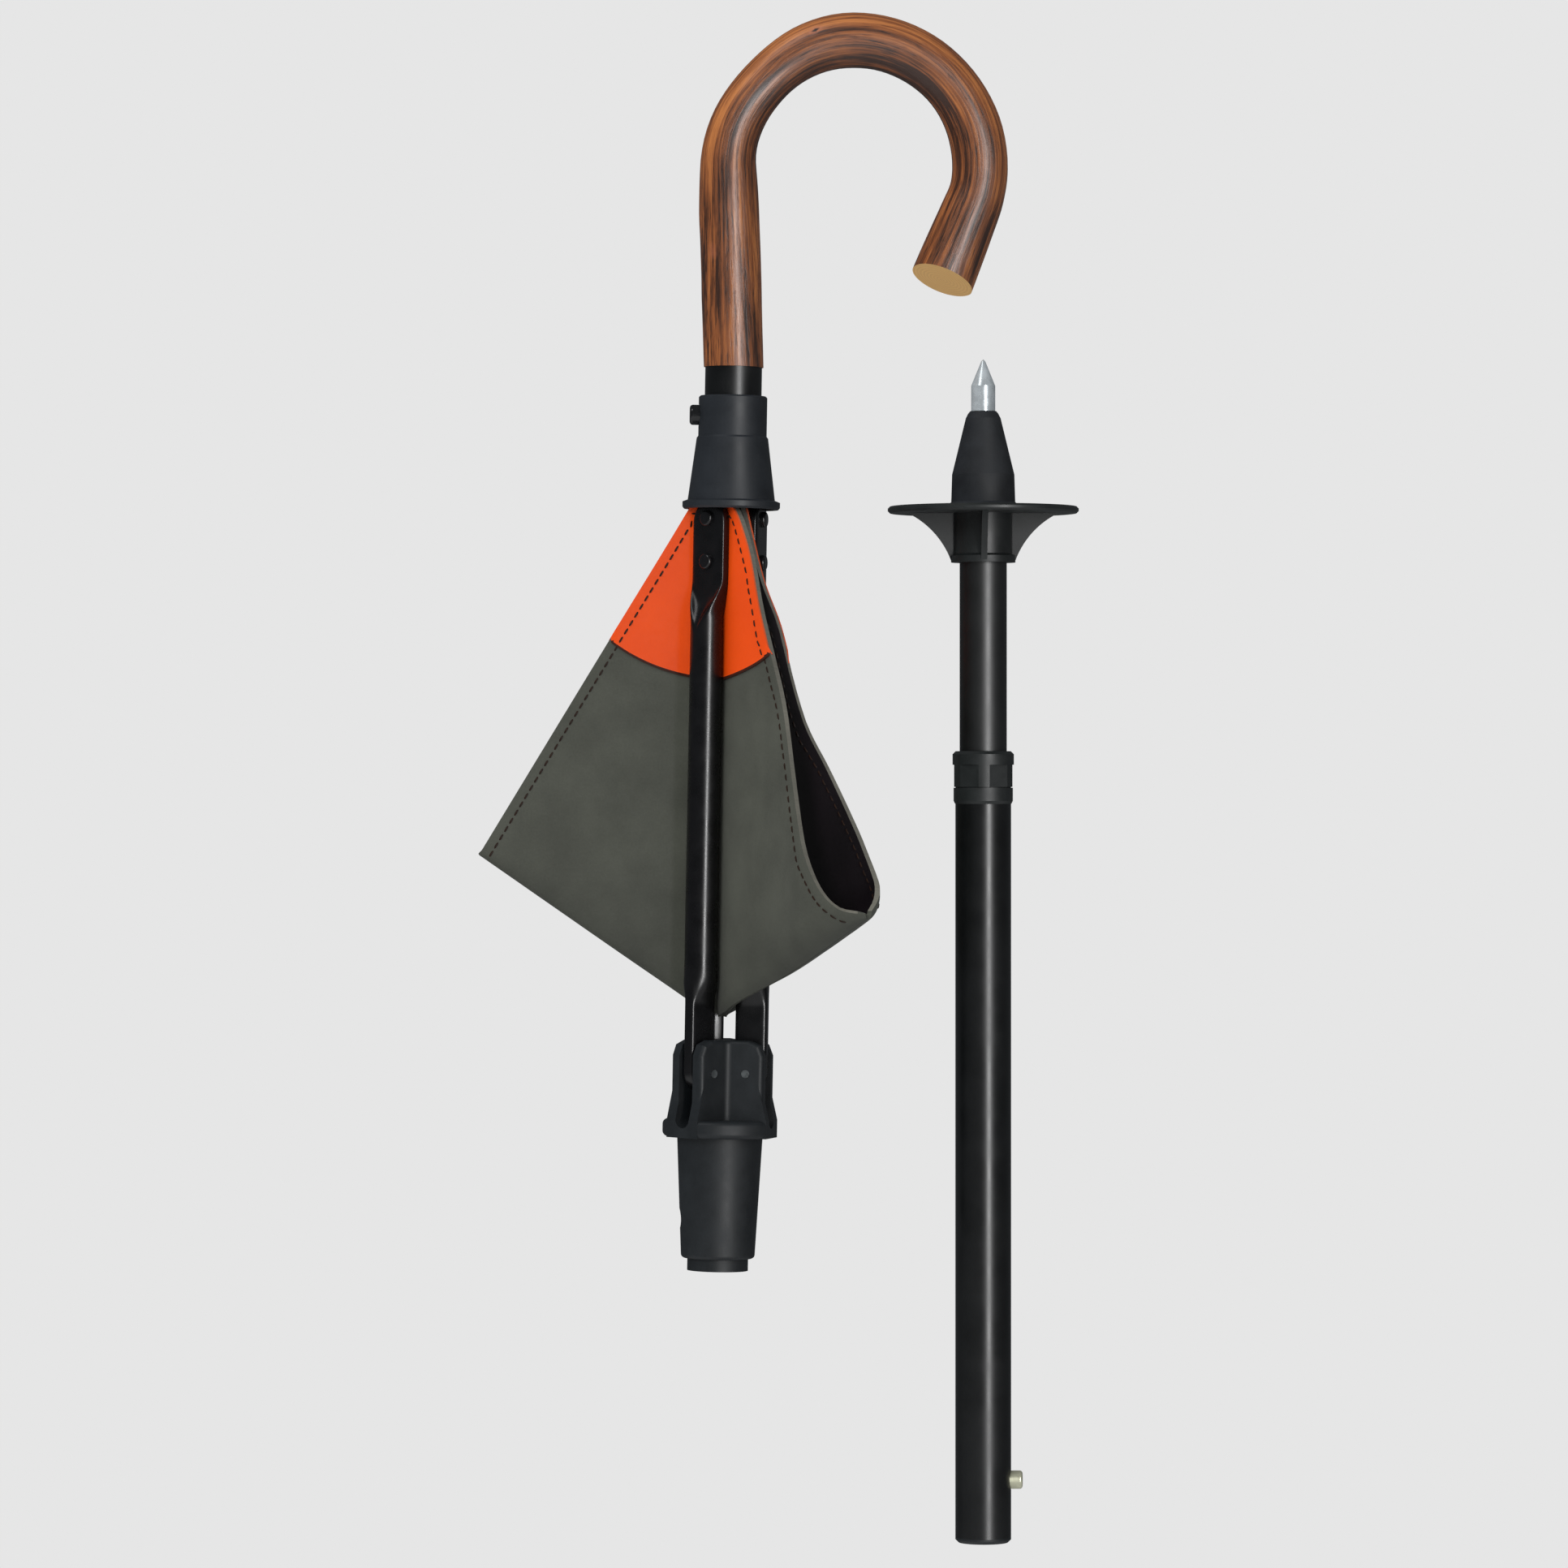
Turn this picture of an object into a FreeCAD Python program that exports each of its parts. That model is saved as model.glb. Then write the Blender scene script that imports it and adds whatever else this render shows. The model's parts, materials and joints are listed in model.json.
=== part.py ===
import FreeCAD, Part
import math
import os
import re
import Sketcher
from FreeCAD import Placement, Rotation, Vector

# Shooting stick with a folded sling seat and a separate adjustable leg, in millimetres.
# The origin is the centre of the leg socket's mouth and +Z runs up the hub's axis.

SIZES = {
    # Socket and hub
    "leg_diameter": 22.0,
    "plug_clearance": 0.2,
    "liner_wall": 0.8,
    "sleeve_start": 4.8,
    "sleeve_top": 52.6,
    "sleeve_foot_diameter": 29.0,
    "sleeve_head_diameter": 33.7,
    "sleeve_round": 1.6,
    "plug_depth": 45.0,
    "socket_floor_gap": 1.0,
    "flange_diameter": 45.4,
    "flange_height": 7.0,
    "flange_round": 2.2,
    "lug_reach": 19.3,
    "lug_width": 17.2,
    "lug_height": 31.4,
    "lug_round": 6.0,
    "lug_edge": 1.8,
    "lug_valley": 3.0,
    "boss_inset": 1.7,
    "boss_rise": 7.0,
    "slot_depth_in_flange": 3.2,
    "slot_root": 4.6,
    # Arms
    "arm_turn": -15.0,
    "pin_radius_place": 12.3,
    "pin_height": 78.0,
    "pin_diameter": 3.2,
    "pin_fit": 0.05,
    "slot_clearance": 1.6,
    "blade_thickness": 6.0,
    "blade_width": 13.4,
    "blade_end": 27.0,
    "arm_diameter": 12.8,
    "round_start": 43.0,
    "neck_length": 20.0,
    "plate_length": 35.0,
    "flat_width": 17.0,
    "flat_thickness": 4.6,
    "flat_inset": 1.6,
    "arm_length": 225.0,
    "rivet_diameter": 6.2,
    "rivet_high_inset": 7.0,
    "rivet_low_inset": 24.0,
    "rivet_dome": 1.7,
    # Bell cap and handle
    "bell_overlap": 3.0,
    "bell_lip_diameter": 38.5,
    "bell_lip_height": 3.6,
    "bell_foot_diameter": 34.4,
    "bell_cone_height": 24.4,
    "bell_wall": 2.2,
    "small_edge": 0.8,
    "fine_edge": 0.6,
    "collar_diameter": 27.0,
    "collar_height": 16.6,
    "handle_tube_diameter": 22.4,
    "handle_tube_wall": 1.4,
    "tip_gap": 0.3,
    "bell_throat_rise": 20.0,
    "handle_tube_rise": 56.0,
    "tenon_length": 9.0,
    "wood_diameter": 23.7,
    "wood_shift": 2.9,
    "wood_stem": 80.0,
    "crook_radius": 49.7,
    "nose_radius": 60.0,
    "nose_length": 22.0,
    "nose_turn": 24.0,
    # Snap buttons
    "handle_button_diameter": 8.0,
    "handle_button_rise": 9.0,
    "handle_button_stand": 3.5,
    "leg_button_diameter": 7.2,
    "leg_button_place": 24.6,
    "leg_button_stand": 4.5,
    "button_clearance": 0.4,
    "button_flange": 1.0,
    "button_flange_step": 0.8,
    "spring_gap": 0.3,
    "spring_thickness": 0.7,
    "spring_width": 6.0,
    "spring_length": 20.0,
    # Leg
    "leg_side": 106.7,
    "leg_drop": 105.3,
    "leg_lean": 1.03,
    "outer_length": 291.0,
    "telescope_fit": 0.08,
    "inner_diameter": 18.6,
    "inner_wall": 1.2,
    "inner_start": 180.0,
    "inner_end": 420.0,
    "end_cap_rim": 2.0,
    "end_cap_depth": 10.0,
    "end_cap_land": 1.6,
    "end_cap_bevel": 1.2,
    "plug_length": 14.0,
    "plug_head": 4.0,
    "lock_seat_length": 6.4,
    "lock_seat_diameter": 23.4,
    "lock_seat_bevel": 1.2,
    "lock_spigot": 7.0,
    "lock_spigot_wall": 1.6,
    "lock_fit": 0.06,
    "lock_gap": 0.3,
    "lock_ring_length": 14.1,
    "lock_ring_diameter": 24.2,
    "lock_ring_bevel": 1.2,
    "lock_flat_depth": 0.7,
    "running_gap": 0.35,
    "disc_diameter": 75.3,
    "disc_thickness": 2.6,
    "disc_top": 408.2,
    "disc_hub_diameter": 23.0,
    "disc_hub_start": 386.2,
    "disc_foot_diameter": 25.4,
    "disc_foot_height": 2.6,
    "rib_reach": 32.5,
    "rib_thickness": 2.4,
    "rib_hollow": 34.0,
    "cone_foot_diameter": 25.3,
    "cone_step_diameter": 24.6,
    "cone_step": 420.8,
    "cone_nose_diameter": 13.8,
    "cone_nose": 443.0,
    "cone_nose_round": 1.8,
    "cone_flare": 1.2,
    "cone_end": 445.8,
    "spike_diameter": 9.5,
    "spike_shoulder": 455.8,
    "spike_end": 466.3,
    "spike_tip_diameter": 1.6,
    "spike_root": 404.0,
    # Folded seat cloth
    "cloth_thickness": 2.0,
    "cloth_lift": 9.0,
    "cloth_drop": 6.0,
    "cloth_neck": 3.1,
    "cloth_half_gap": 2.6,
    "fold_swing": 0.25,
    "fold_reach": 96.0,
    "fold_left_height": 162.5,
    "fold_right_height": 142.0,
    "fold_back_height": 148.0,
    "fold_left_azimuth": 172.0,
    "fold_left_root_azimuth": 164.0,
    "fold_right_azimuth": -52.5,
    "fold_right_root_azimuth": -79.0,
    "fold_back_azimuth": 64.0,
    "fold_back_root_azimuth": 41.7,
    "loop_half_gap": 9.5,
}

doc = FreeCAD.newDocument("ShootingStick")
sheet = doc.addObject("Spreadsheet::Sheet", "Sizes")
PARTS = []


def fill_sheet():
    """Write each driving size into its own cell with a name."""
    for row, (name, number) in enumerate(SIZES.items(), start=1):
        sheet.set(f"A{row}", name)
        sheet.set(f"B{row}", str(number))
        sheet.setAlias(f"B{row}", name)
    doc.recompute()


def formula(words):
    """Turn the bare size names of a sum into references to the sheet."""
    return re.sub(r"[a-z_]+", lambda m: "Sizes." + m[0] if m[0] in SIZES else m[0], str(words))


def size(words):
    """Work out a sum of named sizes as a number."""
    return float(sheet.evalExpression(formula(words)))


def new_body(label, placement=None):
    """Start a sub-part with its own origin."""
    body = doc.addObject("PartDesign::Body", label)
    body.Label = label
    if placement:
        body.Placement = placement
    PARTS.append(body)
    return body


def plane(body, role):
    return next(o for o in body.Origin.OriginFeatures if o.Role == role)


def new_sketch(body, name, role, offset=None):
    """Attach a sketch to one of the body's own planes."""
    sketch = body.newObject("Sketcher::SketchObject", name)
    sketch.AttachmentSupport = [(plane(body, role), "")]
    sketch.MapMode = "FlatFace"
    if offset:
        sketch.AttachmentOffset = offset
    return sketch


def pin_point(sketch, edge, end, x, y):
    """Hold one end of an edge at a place given by named sizes."""
    for kind, axis, words in (("DistanceX", -2, x), ("DistanceY", -1, y)):
        if abs(size(words)) < 1e-9:
            sketch.addConstraint(Sketcher.Constraint("PointOnObject", edge, end, axis))
        else:
            number = sketch.addConstraint(
                Sketcher.Constraint(kind, -1, 1, edge, end, size(words)))
            sketch.setExpression(f"Constraints[{number}]", formula(words))


def outline(body, name, points, role="XZ_Plane", offset=None):
    """Draw a closed polygon whose corners are sums of named sizes."""
    sketch = new_sketch(body, name, role, offset)
    corners = [Vector(size(x), size(y), 0) for x, y in points]
    count = len(corners)
    for i in range(count):
        sketch.addGeometry(Part.LineSegment(corners[i], corners[(i + 1) % count]), False)
    for i in range(count):
        sketch.addConstraint(Sketcher.Constraint("Coincident", i, 2, (i + 1) % count, 1))
    for i, (x, y) in enumerate(points):
        pin_point(sketch, i, 1, x, y)
    return sketch


def circles(body, name, radii, role="XY_Plane", offset=None, centre=("0", "0")):
    """Draw one or two circles round the same centre."""
    sketch = new_sketch(body, name, role, offset)
    middle = Vector(size(centre[0]), size(centre[1]), 0)
    for i, radius in enumerate(radii):
        sketch.addGeometry(Part.Circle(middle, Vector(0, 0, 1), size(radius)), False)
        number = sketch.addConstraint(Sketcher.Constraint("Radius", i, size(radius)))
        sketch.setExpression(f"Constraints[{number}]", formula(radius))
        pin_point(sketch, i, 3, *centre)
    return sketch


def spin(body, name, points):
    """Turn a half section about the body's Z axis."""
    sketch = outline(body, name + "_section", points)
    turn = body.newObject("PartDesign::Revolution", name)
    turn.Profile = sketch
    turn.ReferenceAxis = (sketch, ["V_Axis"])
    turn.Angle = 360
    return turn


def pad(body, name, sketch, length, both_ways=False, reverse=False):
    block = body.newObject("PartDesign::Pad", name)
    block.Profile = sketch
    block.setExpression("Length", formula(length))
    block.Midplane = both_ways
    block.Reversed = reverse
    return block


def cut(body, name, sketch, length, both_ways=False, reverse=False):
    """Pocket a sketch, and make sure that it removes something."""
    doc.recompute()
    before = body.Shape.Volume
    hole = body.newObject("PartDesign::Pocket", name)
    hole.Profile = sketch
    hole.setExpression("Length", formula(length))
    hole.Midplane = both_ways
    hole.Reversed = reverse
    doc.recompute()
    if body.Shape.Volume > before - 0.01:
        raise RuntimeError(f"{body.Label}: {name} cuts nothing")
    return hole


def round_about(body, name, feature, count):
    """Repeat a feature evenly about the body's Z axis."""
    ring = body.newObject("PartDesign::PolarPattern", name)
    ring.Originals = [feature]
    ring.Axis = (plane(body, "Z_Axis"), [""])
    ring.Angle = 360
    ring.Occurrences = count
    body.Tip = ring
    return ring


def soften(body, name, feature, radius, wanted):
    """Fillet the edges whose middle passes a test."""
    doc.recompute()
    names = []
    for number, edge in enumerate(feature.Shape.Edges, start=1):
        middle = edge.valueAt((edge.FirstParameter + edge.LastParameter) / 2)
        if wanted(edge, middle):
            names.append(f"Edge{number}")
    fillet = body.newObject("PartDesign::Fillet", name)
    fillet.Base = (feature, names)
    fillet.setExpression("Radius", formula(radius))
    return fillet


def is_ring(edge, radius, height):
    """Tell whether an edge is a full circle of this radius at this height."""
    if not isinstance(edge.Curve, Part.Circle):
        return False
    return abs(edge.Curve.Radius - radius) < 0.01 and abs(edge.Curve.Center.z - height) < 0.01


# Places on the upper part
HUB_PLACE = Placement(Vector(), Rotation(Vector(0, 0, 1), SIZES["arm_turn"]))
ARM_NAMES = ("right", "back", "front")
LINER_RADIUS = "leg_diameter / 2 + plug_clearance + liner_wall"
BORE_RADIUS = "leg_diameter / 2 + plug_clearance"
SOCKET_FLOOR = "plug_depth + socket_floor_gap"
FLANGE_TOP = "sleeve_top + flange_height"
LUG_TOP = "sleeve_top + flange_height + lug_height"
PLATE_START = "(arm_length - plate_length)"
ROUND_END = "(arm_length - plate_length - neck_length)"
RIVETS = (("high", "arm_length - rivet_high_inset"), ("low", "arm_length - rivet_low_inset"))
BELL_START = "(pin_height + arm_length - bell_overlap)"
HANDLE_TUBE_END = BELL_START + " + handle_tube_rise"
HOLE_HEIGHT = "plug_depth - leg_button_place"


def side_hole(body, name, radius, height, depth):
    """Drill in from the body's -X side at a height."""
    offset = Placement(Vector(0, 0, -size(depth)), Rotation())
    sketch = circles(body, name + "_circle", [radius], "YZ_Plane", offset, ("0", height))
    return cut(body, name, sketch, depth, reverse=True)


def make_hub():
    """Flange with three slotted lugs and the floor of the socket."""
    body = new_body("hub", HUB_PLACE)
    core = spin(body, "flange", [
        ("0", SOCKET_FLOOR),
        (LINER_RADIUS, SOCKET_FLOOR),
        (LINER_RADIUS, "sleeve_top"),
        ("flange_diameter / 2", "sleeve_top"),
        ("flange_diameter / 2", FLANGE_TOP),
        ("0", FLANGE_TOP),
    ])
    flange_radius = size("flange_diameter / 2")
    rims = (size("sleeve_top"), size(FLANGE_TOP))
    soften(body, "flange_rounding", core, "flange_round",
           lambda e, m: any(is_ring(e, flange_radius, z) for z in rims))
    chord = outline(body, "boss_face_plan", [
        ("flange_diameter / 2 - boss_inset", "0 - lug_width"),
        ("flange_diameter", "0 - lug_width"),
        ("flange_diameter", "lug_width"),
        ("flange_diameter / 2 - boss_inset", "lug_width"),
    ], "XY_Plane", Placement(Vector(0, 0, size(FLANGE_TOP)), Rotation()))
    round_about(body, "boss_faces", cut(body, "boss_face", chord, "flange_height"), 3)
    lug = outline(body, "lug_side", [
        ("0", "sleeve_top"),
        ("flange_diameter / 2 - boss_inset", "sleeve_top"),
        ("flange_diameter / 2 - boss_inset", FLANGE_TOP),
        ("lug_reach", FLANGE_TOP + " + boss_rise"),
        ("lug_reach", LUG_TOP + " - lug_round"),
        ("lug_reach - lug_round * 0.29", LUG_TOP + " - lug_round * 0.29"),
        ("lug_reach - lug_round", LUG_TOP),
        ("0", LUG_TOP),
    ])
    lugs = round_about(body, "lugs", pad(body, "lug", lug, "lug_width", both_ways=True), 3)
    side = size("lug_width / 2")
    floor = size(FLANGE_TOP)

    def is_valley(edge, middle):
        upright = abs(edge.tangentAt(edge.FirstParameter).z) > 0.999
        return upright and middle.z > floor and math.hypot(middle.x, middle.y) < side * 1.3

    def is_lug_edge(edge, middle):
        for turn in (0, 120, 240):
            spot = Rotation(Vector(0, 0, 1), -turn).multVec(Vector(middle))
            if abs(abs(spot.y) - side) < 0.01 and spot.x > side:
                return spot.z > floor + size("boss_rise")
        return False

    valleys = soften(body, "lug_valleys", lugs, "lug_valley", is_valley)
    soften(body, "lug_edges", valleys, "lug_edge", is_lug_edge)
    slot_half = "(blade_thickness + slot_clearance) / 2"
    slot_far = "flange_diameter"
    slot = outline(body, "slot_plan", [
        ("slot_root", "0 - " + slot_half),
        (slot_far, "0 - " + slot_half),
        (slot_far, slot_half),
        ("slot_root", slot_half),
    ], "XY_Plane", Placement(Vector(0, 0, size(LUG_TOP)), Rotation()))
    depth = "lug_height + slot_depth_in_flange - " + slot_half
    round_about(body, "slots", cut(body, "slot", slot, depth), 3)
    bed = circles(body, "slot_bed_circle", [slot_half], "YZ_Plane",
                  Placement(Vector(0, 0, size("slot_root")), Rotation()),
                  ("0", FLANGE_TOP + " - slot_depth_in_flange + " + slot_half))
    round_about(body, "slot_beds", cut(body, "slot_bed", bed, "flange_diameter", reverse=True), 3)
    hole = circles(body, "pin_circle", ["pin_diameter / 2"], "XZ_Plane", None,
                   ("pin_radius_place", "pin_height"))
    round_about(body, "pin_holes", cut(body, "pin_hole", hole, "lug_width * 1.2", both_ways=True), 3)


def make_pins():
    """One cross pin through each lug, with a low head at each end."""
    body = new_body("arm_pins", HUB_PLACE)
    shaft = circles(body, "pin_circle", ["pin_diameter / 2"], "XZ_Plane", None,
                    ("pin_radius_place", "pin_height"))
    round_about(body, "pins", pad(body, "pin", shaft, "lug_width + 0.6", both_ways=True), 3)


def make_socket():
    """Tapered sleeve with a thin liner tube, both drilled for the leg's button."""
    sleeve = new_body("socket_sleeve")
    wall = spin(sleeve, "wall", [
        (LINER_RADIUS, "sleeve_start"),
        ("sleeve_foot_diameter / 2", "sleeve_start"),
        ("sleeve_head_diameter / 2", "sleeve_top"),
        (LINER_RADIUS, "sleeve_top"),
    ])
    foot = (size("sleeve_foot_diameter / 2"), size("sleeve_start"))
    soften(sleeve, "foot_rounding", wall, "sleeve_round", lambda e, m: is_ring(e, *foot))
    liner = new_body("socket_liner")
    spin(liner, "tube", [
        (BORE_RADIUS, "0"),
        (LINER_RADIUS, "0"),
        (LINER_RADIUS, SOCKET_FLOOR),
        (BORE_RADIUS, SOCKET_FLOOR),
    ])
    for body in (sleeve, liner):
        side_hole(body, "button_hole", "leg_button_diameter / 2 + button_clearance",
                  HOLE_HEIGHT, "sleeve_head_diameter")


def rounded_section(body, name, height, wide, deep, corner, inset="0"):
    """Draw a rectangle with round corners square to the arm."""
    offset = Placement(Vector(0, 0, size(height)), Rotation())
    sketch = new_sketch(body, name, "XY_Plane", offset)
    sketch.setExpression("AttachmentOffset.Base.z", formula(height))
    middle = -size(inset)
    x = size(wide) / 2
    y = size(deep) / 2
    r = size(corner)
    quarter = math.pi / 2
    spots = [(x - r, y - r), (r - x, y - r), (r - x, r - y), (x - r, r - y)]
    for turn, (cx, cy) in enumerate(spots):
        circle = Part.Circle(Vector(middle + cx, cy, 0), Vector(0, 0, 1), r)
        arc = Part.ArcOfCircle(circle, turn * quarter, (turn + 1) * quarter)
        sketch.addGeometry(arc, False)
    for turn in range(4):
        here = sketch.Geometry[turn]
        after = sketch.Geometry[(turn + 1) % 4]
        sketch.addGeometry(Part.LineSegment(here.EndPoint, after.StartPoint), False)
    for turn in range(4):
        sketch.addConstraint(Sketcher.Constraint("Tangent", turn, 2, 4 + turn, 1))
        sketch.addConstraint(Sketcher.Constraint("Tangent", 4 + turn, 2, (turn + 1) % 4, 1))
    for turn in range(3):
        sketch.addConstraint(Sketcher.Constraint("Equal", turn, turn + 1))
    sketch.addConstraint(Sketcher.Constraint("Horizontal", 4))
    radius = sketch.addConstraint(Sketcher.Constraint("Radius", 0, r))
    sketch.setExpression(f"Constraints[{radius}]", formula(corner))
    sides = (
        ("DistanceX", 7, f"({wide}) / 2 - ({inset})"),
        ("DistanceX", 5, f"0 - ({wide}) / 2 - ({inset})"),
        ("DistanceY", 4, f"({deep}) / 2"),
        ("DistanceY", 6, f"0 - ({deep}) / 2"),
    )
    for kind, line, words in sides:
        number = sketch.addConstraint(Sketcher.Constraint(kind, -1, 1, line, 1, size(words)))
        sketch.setExpression(f"Constraints[{number}]", formula(words))
    return sketch


def arm_place(index):
    """Stand an arm's pin eye on its pin."""
    turn = Rotation(Vector(0, 0, 1), SIZES["arm_turn"] + 120 * index)
    return Placement(turn.multVec(Vector(size("pin_radius_place"), 0, size("pin_height"))), turn)


def make_arm(index):
    """Tube flattened into a blade at its foot and a riveted plate at its top."""
    body = new_body("arm_" + ARM_NAMES[index], arm_place(index))
    full = "arm_diameter"
    pipe_corner = "arm_diameter * 0.46"
    sections = [
        rounded_section(body, "blade", "blade_end", "blade_width", "blade_thickness",
                        "blade_thickness * 0.35"),
        rounded_section(body, "pipe_foot", "round_start", full, full, pipe_corner),
        rounded_section(body, "pipe_head", ROUND_END, full, full, pipe_corner),
        rounded_section(body, "plate_foot", PLATE_START, "flat_thickness", "flat_width",
                        "flat_thickness * 0.35", "flat_inset"),
    ]
    loft = body.newObject("PartDesign::AdditiveLoft", "tube")
    loft.Profile = sections[0]
    loft.Sections = sections[1:]
    loft.Ruled = True
    eye_radius = "blade_width / 2"
    eye = circles(body, "eye_circle", [eye_radius], "XZ_Plane")
    pad(body, "eye", eye, "blade_thickness", both_ways=True)
    side = outline(body, "blade_side", [
        ("0 - blade_width / 2", "0"),
        ("blade_width / 2", "0"),
        ("blade_width / 2", "blade_end"),
        ("0 - blade_width / 2", "blade_end"),
    ])
    pad(body, "blade_plate", side, "blade_thickness", both_ways=True)
    shift = Placement(Vector(0, 0, size("0 - flat_inset")), Rotation())
    plate = outline(body, "plate_front", [
        ("0 - flat_width / 2", PLATE_START),
        ("flat_width / 2", PLATE_START),
        ("flat_width / 2", "arm_length - flat_width / 2"),
        ("0 - flat_width / 2", "arm_length - flat_width / 2"),
    ], "YZ_Plane", shift)
    pad(body, "plate", plate, "flat_thickness", both_ways=True)
    tip = circles(body, "tip_circle", ["flat_width / 2"], "YZ_Plane", shift,
                  ("0", "arm_length - flat_width / 2"))
    pad(body, "tip", tip, "flat_thickness", both_ways=True)
    bore = circles(body, "eye_hole_circle", ["pin_diameter / 2 + pin_fit"], "XZ_Plane")
    cut(body, "eye_hole", bore, "blade_thickness * 2", both_ways=True)
    for name, height in RIVETS:
        hole = circles(body, f"rivet_{name}_circle", ["rivet_diameter / 4"], "YZ_Plane", None,
                       ("0", height))
        cut(body, f"rivet_{name}_hole", hole, "arm_diameter * 2", both_ways=True)


def make_rivets(index):
    """Two domed rivets whose shanks run through the plate."""
    body = new_body("arm_rivets_" + ARM_NAMES[index], arm_place(index))
    outside = "flat_thickness / 2 - flat_inset"
    for name, height in RIVETS:
        head = circles(body, name + "_head", ["rivet_diameter / 2"], "YZ_Plane",
                       Placement(Vector(0, 0, size(outside)), Rotation()), ("0", height))
        dome = pad(body, name + "_dome", head, "rivet_dome")
        rim = size(outside) + size("rivet_dome")
        near = size("rivet_diameter")
        soften(body, name + "_rounding", dome, "rivet_dome * 0.55",
               lambda e, m, x=rim, z=size(height): abs(m.x - x) < 0.01 and abs(m.z - z) < near)
        shank = circles(body, name + "_shank_circle", ["rivet_diameter / 4"], "YZ_Plane",
                        Placement(Vector(0, 0, size(outside)), Rotation()), ("0", height))
        pad(body, name + "_shank", shank, "flat_thickness + 0.2", reverse=True)


# Places on the bell cap and handle
LIP_TOP = BELL_START + " + bell_lip_height"
CONE_TOP = LIP_TOP + " + bell_cone_height"
COLLAR_TOP = CONE_TOP + " + collar_height"
TUBE_RADIUS = "handle_tube_diameter / 2"
TUBE_START = "pin_height + arm_length + tip_gap"
HANDLE_BUTTON_HEIGHT = CONE_TOP + " + handle_button_rise"


def make_bell():
    """Stepped cap over the arm tips, with a collar round the handle tube."""
    body = new_body("top_bell")
    spin(body, "shell", [
        ("bell_lip_diameter / 2 - bell_wall", BELL_START),
        ("bell_lip_diameter / 2 - fine_edge", BELL_START),
        ("bell_lip_diameter / 2", BELL_START + " + small_edge"),
        ("bell_lip_diameter / 2", LIP_TOP + " - small_edge"),
        ("bell_foot_diameter / 2", LIP_TOP),
        ("collar_diameter / 2 + fine_edge", CONE_TOP),
        ("collar_diameter / 2", CONE_TOP + " + small_edge"),
        ("collar_diameter / 2", COLLAR_TOP + " - fine_edge"),
        ("collar_diameter / 2 - fine_edge", COLLAR_TOP),
        (TUBE_RADIUS, COLLAR_TOP),
        (TUBE_RADIUS, BELL_START + " + bell_throat_rise"),
        ("bell_foot_diameter / 2 - bell_wall", LIP_TOP + " + bell_lip_height"),
    ])
    side_hole(body, "button_hole", "handle_button_diameter / 2 + button_clearance",
              HANDLE_BUTTON_HEIGHT, "collar_diameter")


def make_handle():
    """Short tube and the bent wooden crook above it."""
    tube = new_body("handle_tube")
    spin(tube, "wall", [
        (TUBE_RADIUS + " - handle_tube_wall", TUBE_START),
        (TUBE_RADIUS, TUBE_START),
        (TUBE_RADIUS, HANDLE_TUBE_END),
        (TUBE_RADIUS + " - handle_tube_wall", HANDLE_TUBE_END),
    ])
    side_hole(tube, "button_hole", "handle_button_diameter / 2 + button_clearance",
              HANDLE_BUTTON_HEIGHT, "collar_diameter")
    wood = new_body("handle_crook")
    tenon_radius = TUBE_RADIUS + " - handle_tube_wall"
    tenon = circles(wood, "tenon_circle", [tenon_radius], "XY_Plane",
                    Placement(Vector(0, 0, size(HANDLE_TUBE_END + " - tenon_length")), Rotation()))
    pad(wood, "tenon", tenon, "tenon_length")
    path = crook_path(wood)
    ring = circles(wood, "wood_circle", ["wood_diameter / 2"], "XY_Plane",
                   Placement(Vector(0, 0, size(HANDLE_TUBE_END)), Rotation()))
    pipe = wood.newObject("PartDesign::AdditivePipe", "crook")
    pipe.Profile = ring
    pipe.Spine = path
    doc.recompute()


def crook_path(body):
    """Leaning stem, half circle and turned in nose, each tangent to the last."""
    sketch = new_sketch(body, "crook_path", "XZ_Plane")
    radius = size("crook_radius")
    nose_radius = size("nose_radius")
    start = Vector(0, size(HANDLE_TUBE_END), 0)
    rise = start + Vector(-size("wood_shift"), size("wood_stem"), 0)
    along = (rise - start).normalize()
    centre = rise + Vector(along.y, -along.x, 0) * radius
    side = centre + Vector(radius, 0, 0)
    bend = math.radians(size("nose_turn"))
    nose_centre = side - Vector(nose_radius, 0, 0)
    corner = nose_centre + Vector(math.cos(bend), -math.sin(bend), 0) * nose_radius
    tip = corner + Vector(-math.sin(bend), -math.cos(bend), 0) * size("nose_length")
    up = Vector(0, 0, 1)
    start_angle = math.atan2((rise - centre).y, (rise - centre).x) + 2 * math.pi
    sketch.addGeometry(Part.LineSegment(start, rise), False)
    sketch.addGeometry(Part.ArcOfCircle(Part.Circle(centre, up, radius), 0, start_angle), False)
    sketch.addGeometry(Part.ArcOfCircle(Part.Circle(nose_centre, up, nose_radius), -bend, 0), False)
    sketch.addGeometry(Part.LineSegment(corner, tip), False)
    pin_point(sketch, 0, 1, "0", HANDLE_TUBE_END)
    pin_point(sketch, 0, 2, "0 - wood_shift", HANDLE_TUBE_END + " + wood_stem")
    for link in ((0, 2, 1, 2), (1, 1, 2, 2), (2, 1, 3, 1)):
        sketch.addConstraint(Sketcher.Constraint("Tangent", *link))
    sketch.addConstraint(Sketcher.Constraint("Horizontal", 1, 3, 1, 1))
    limits = (("Radius", (1,), "crook_radius"), ("Radius", (2,), "nose_radius"),
              ("Distance", (3,), "nose_length"))
    for kind, where, words in limits:
        number = sketch.addConstraint(Sketcher.Constraint(kind, *where, size(words)))
        sketch.setExpression(f"Constraints[{number}]", formula(words))
    return sketch


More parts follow.
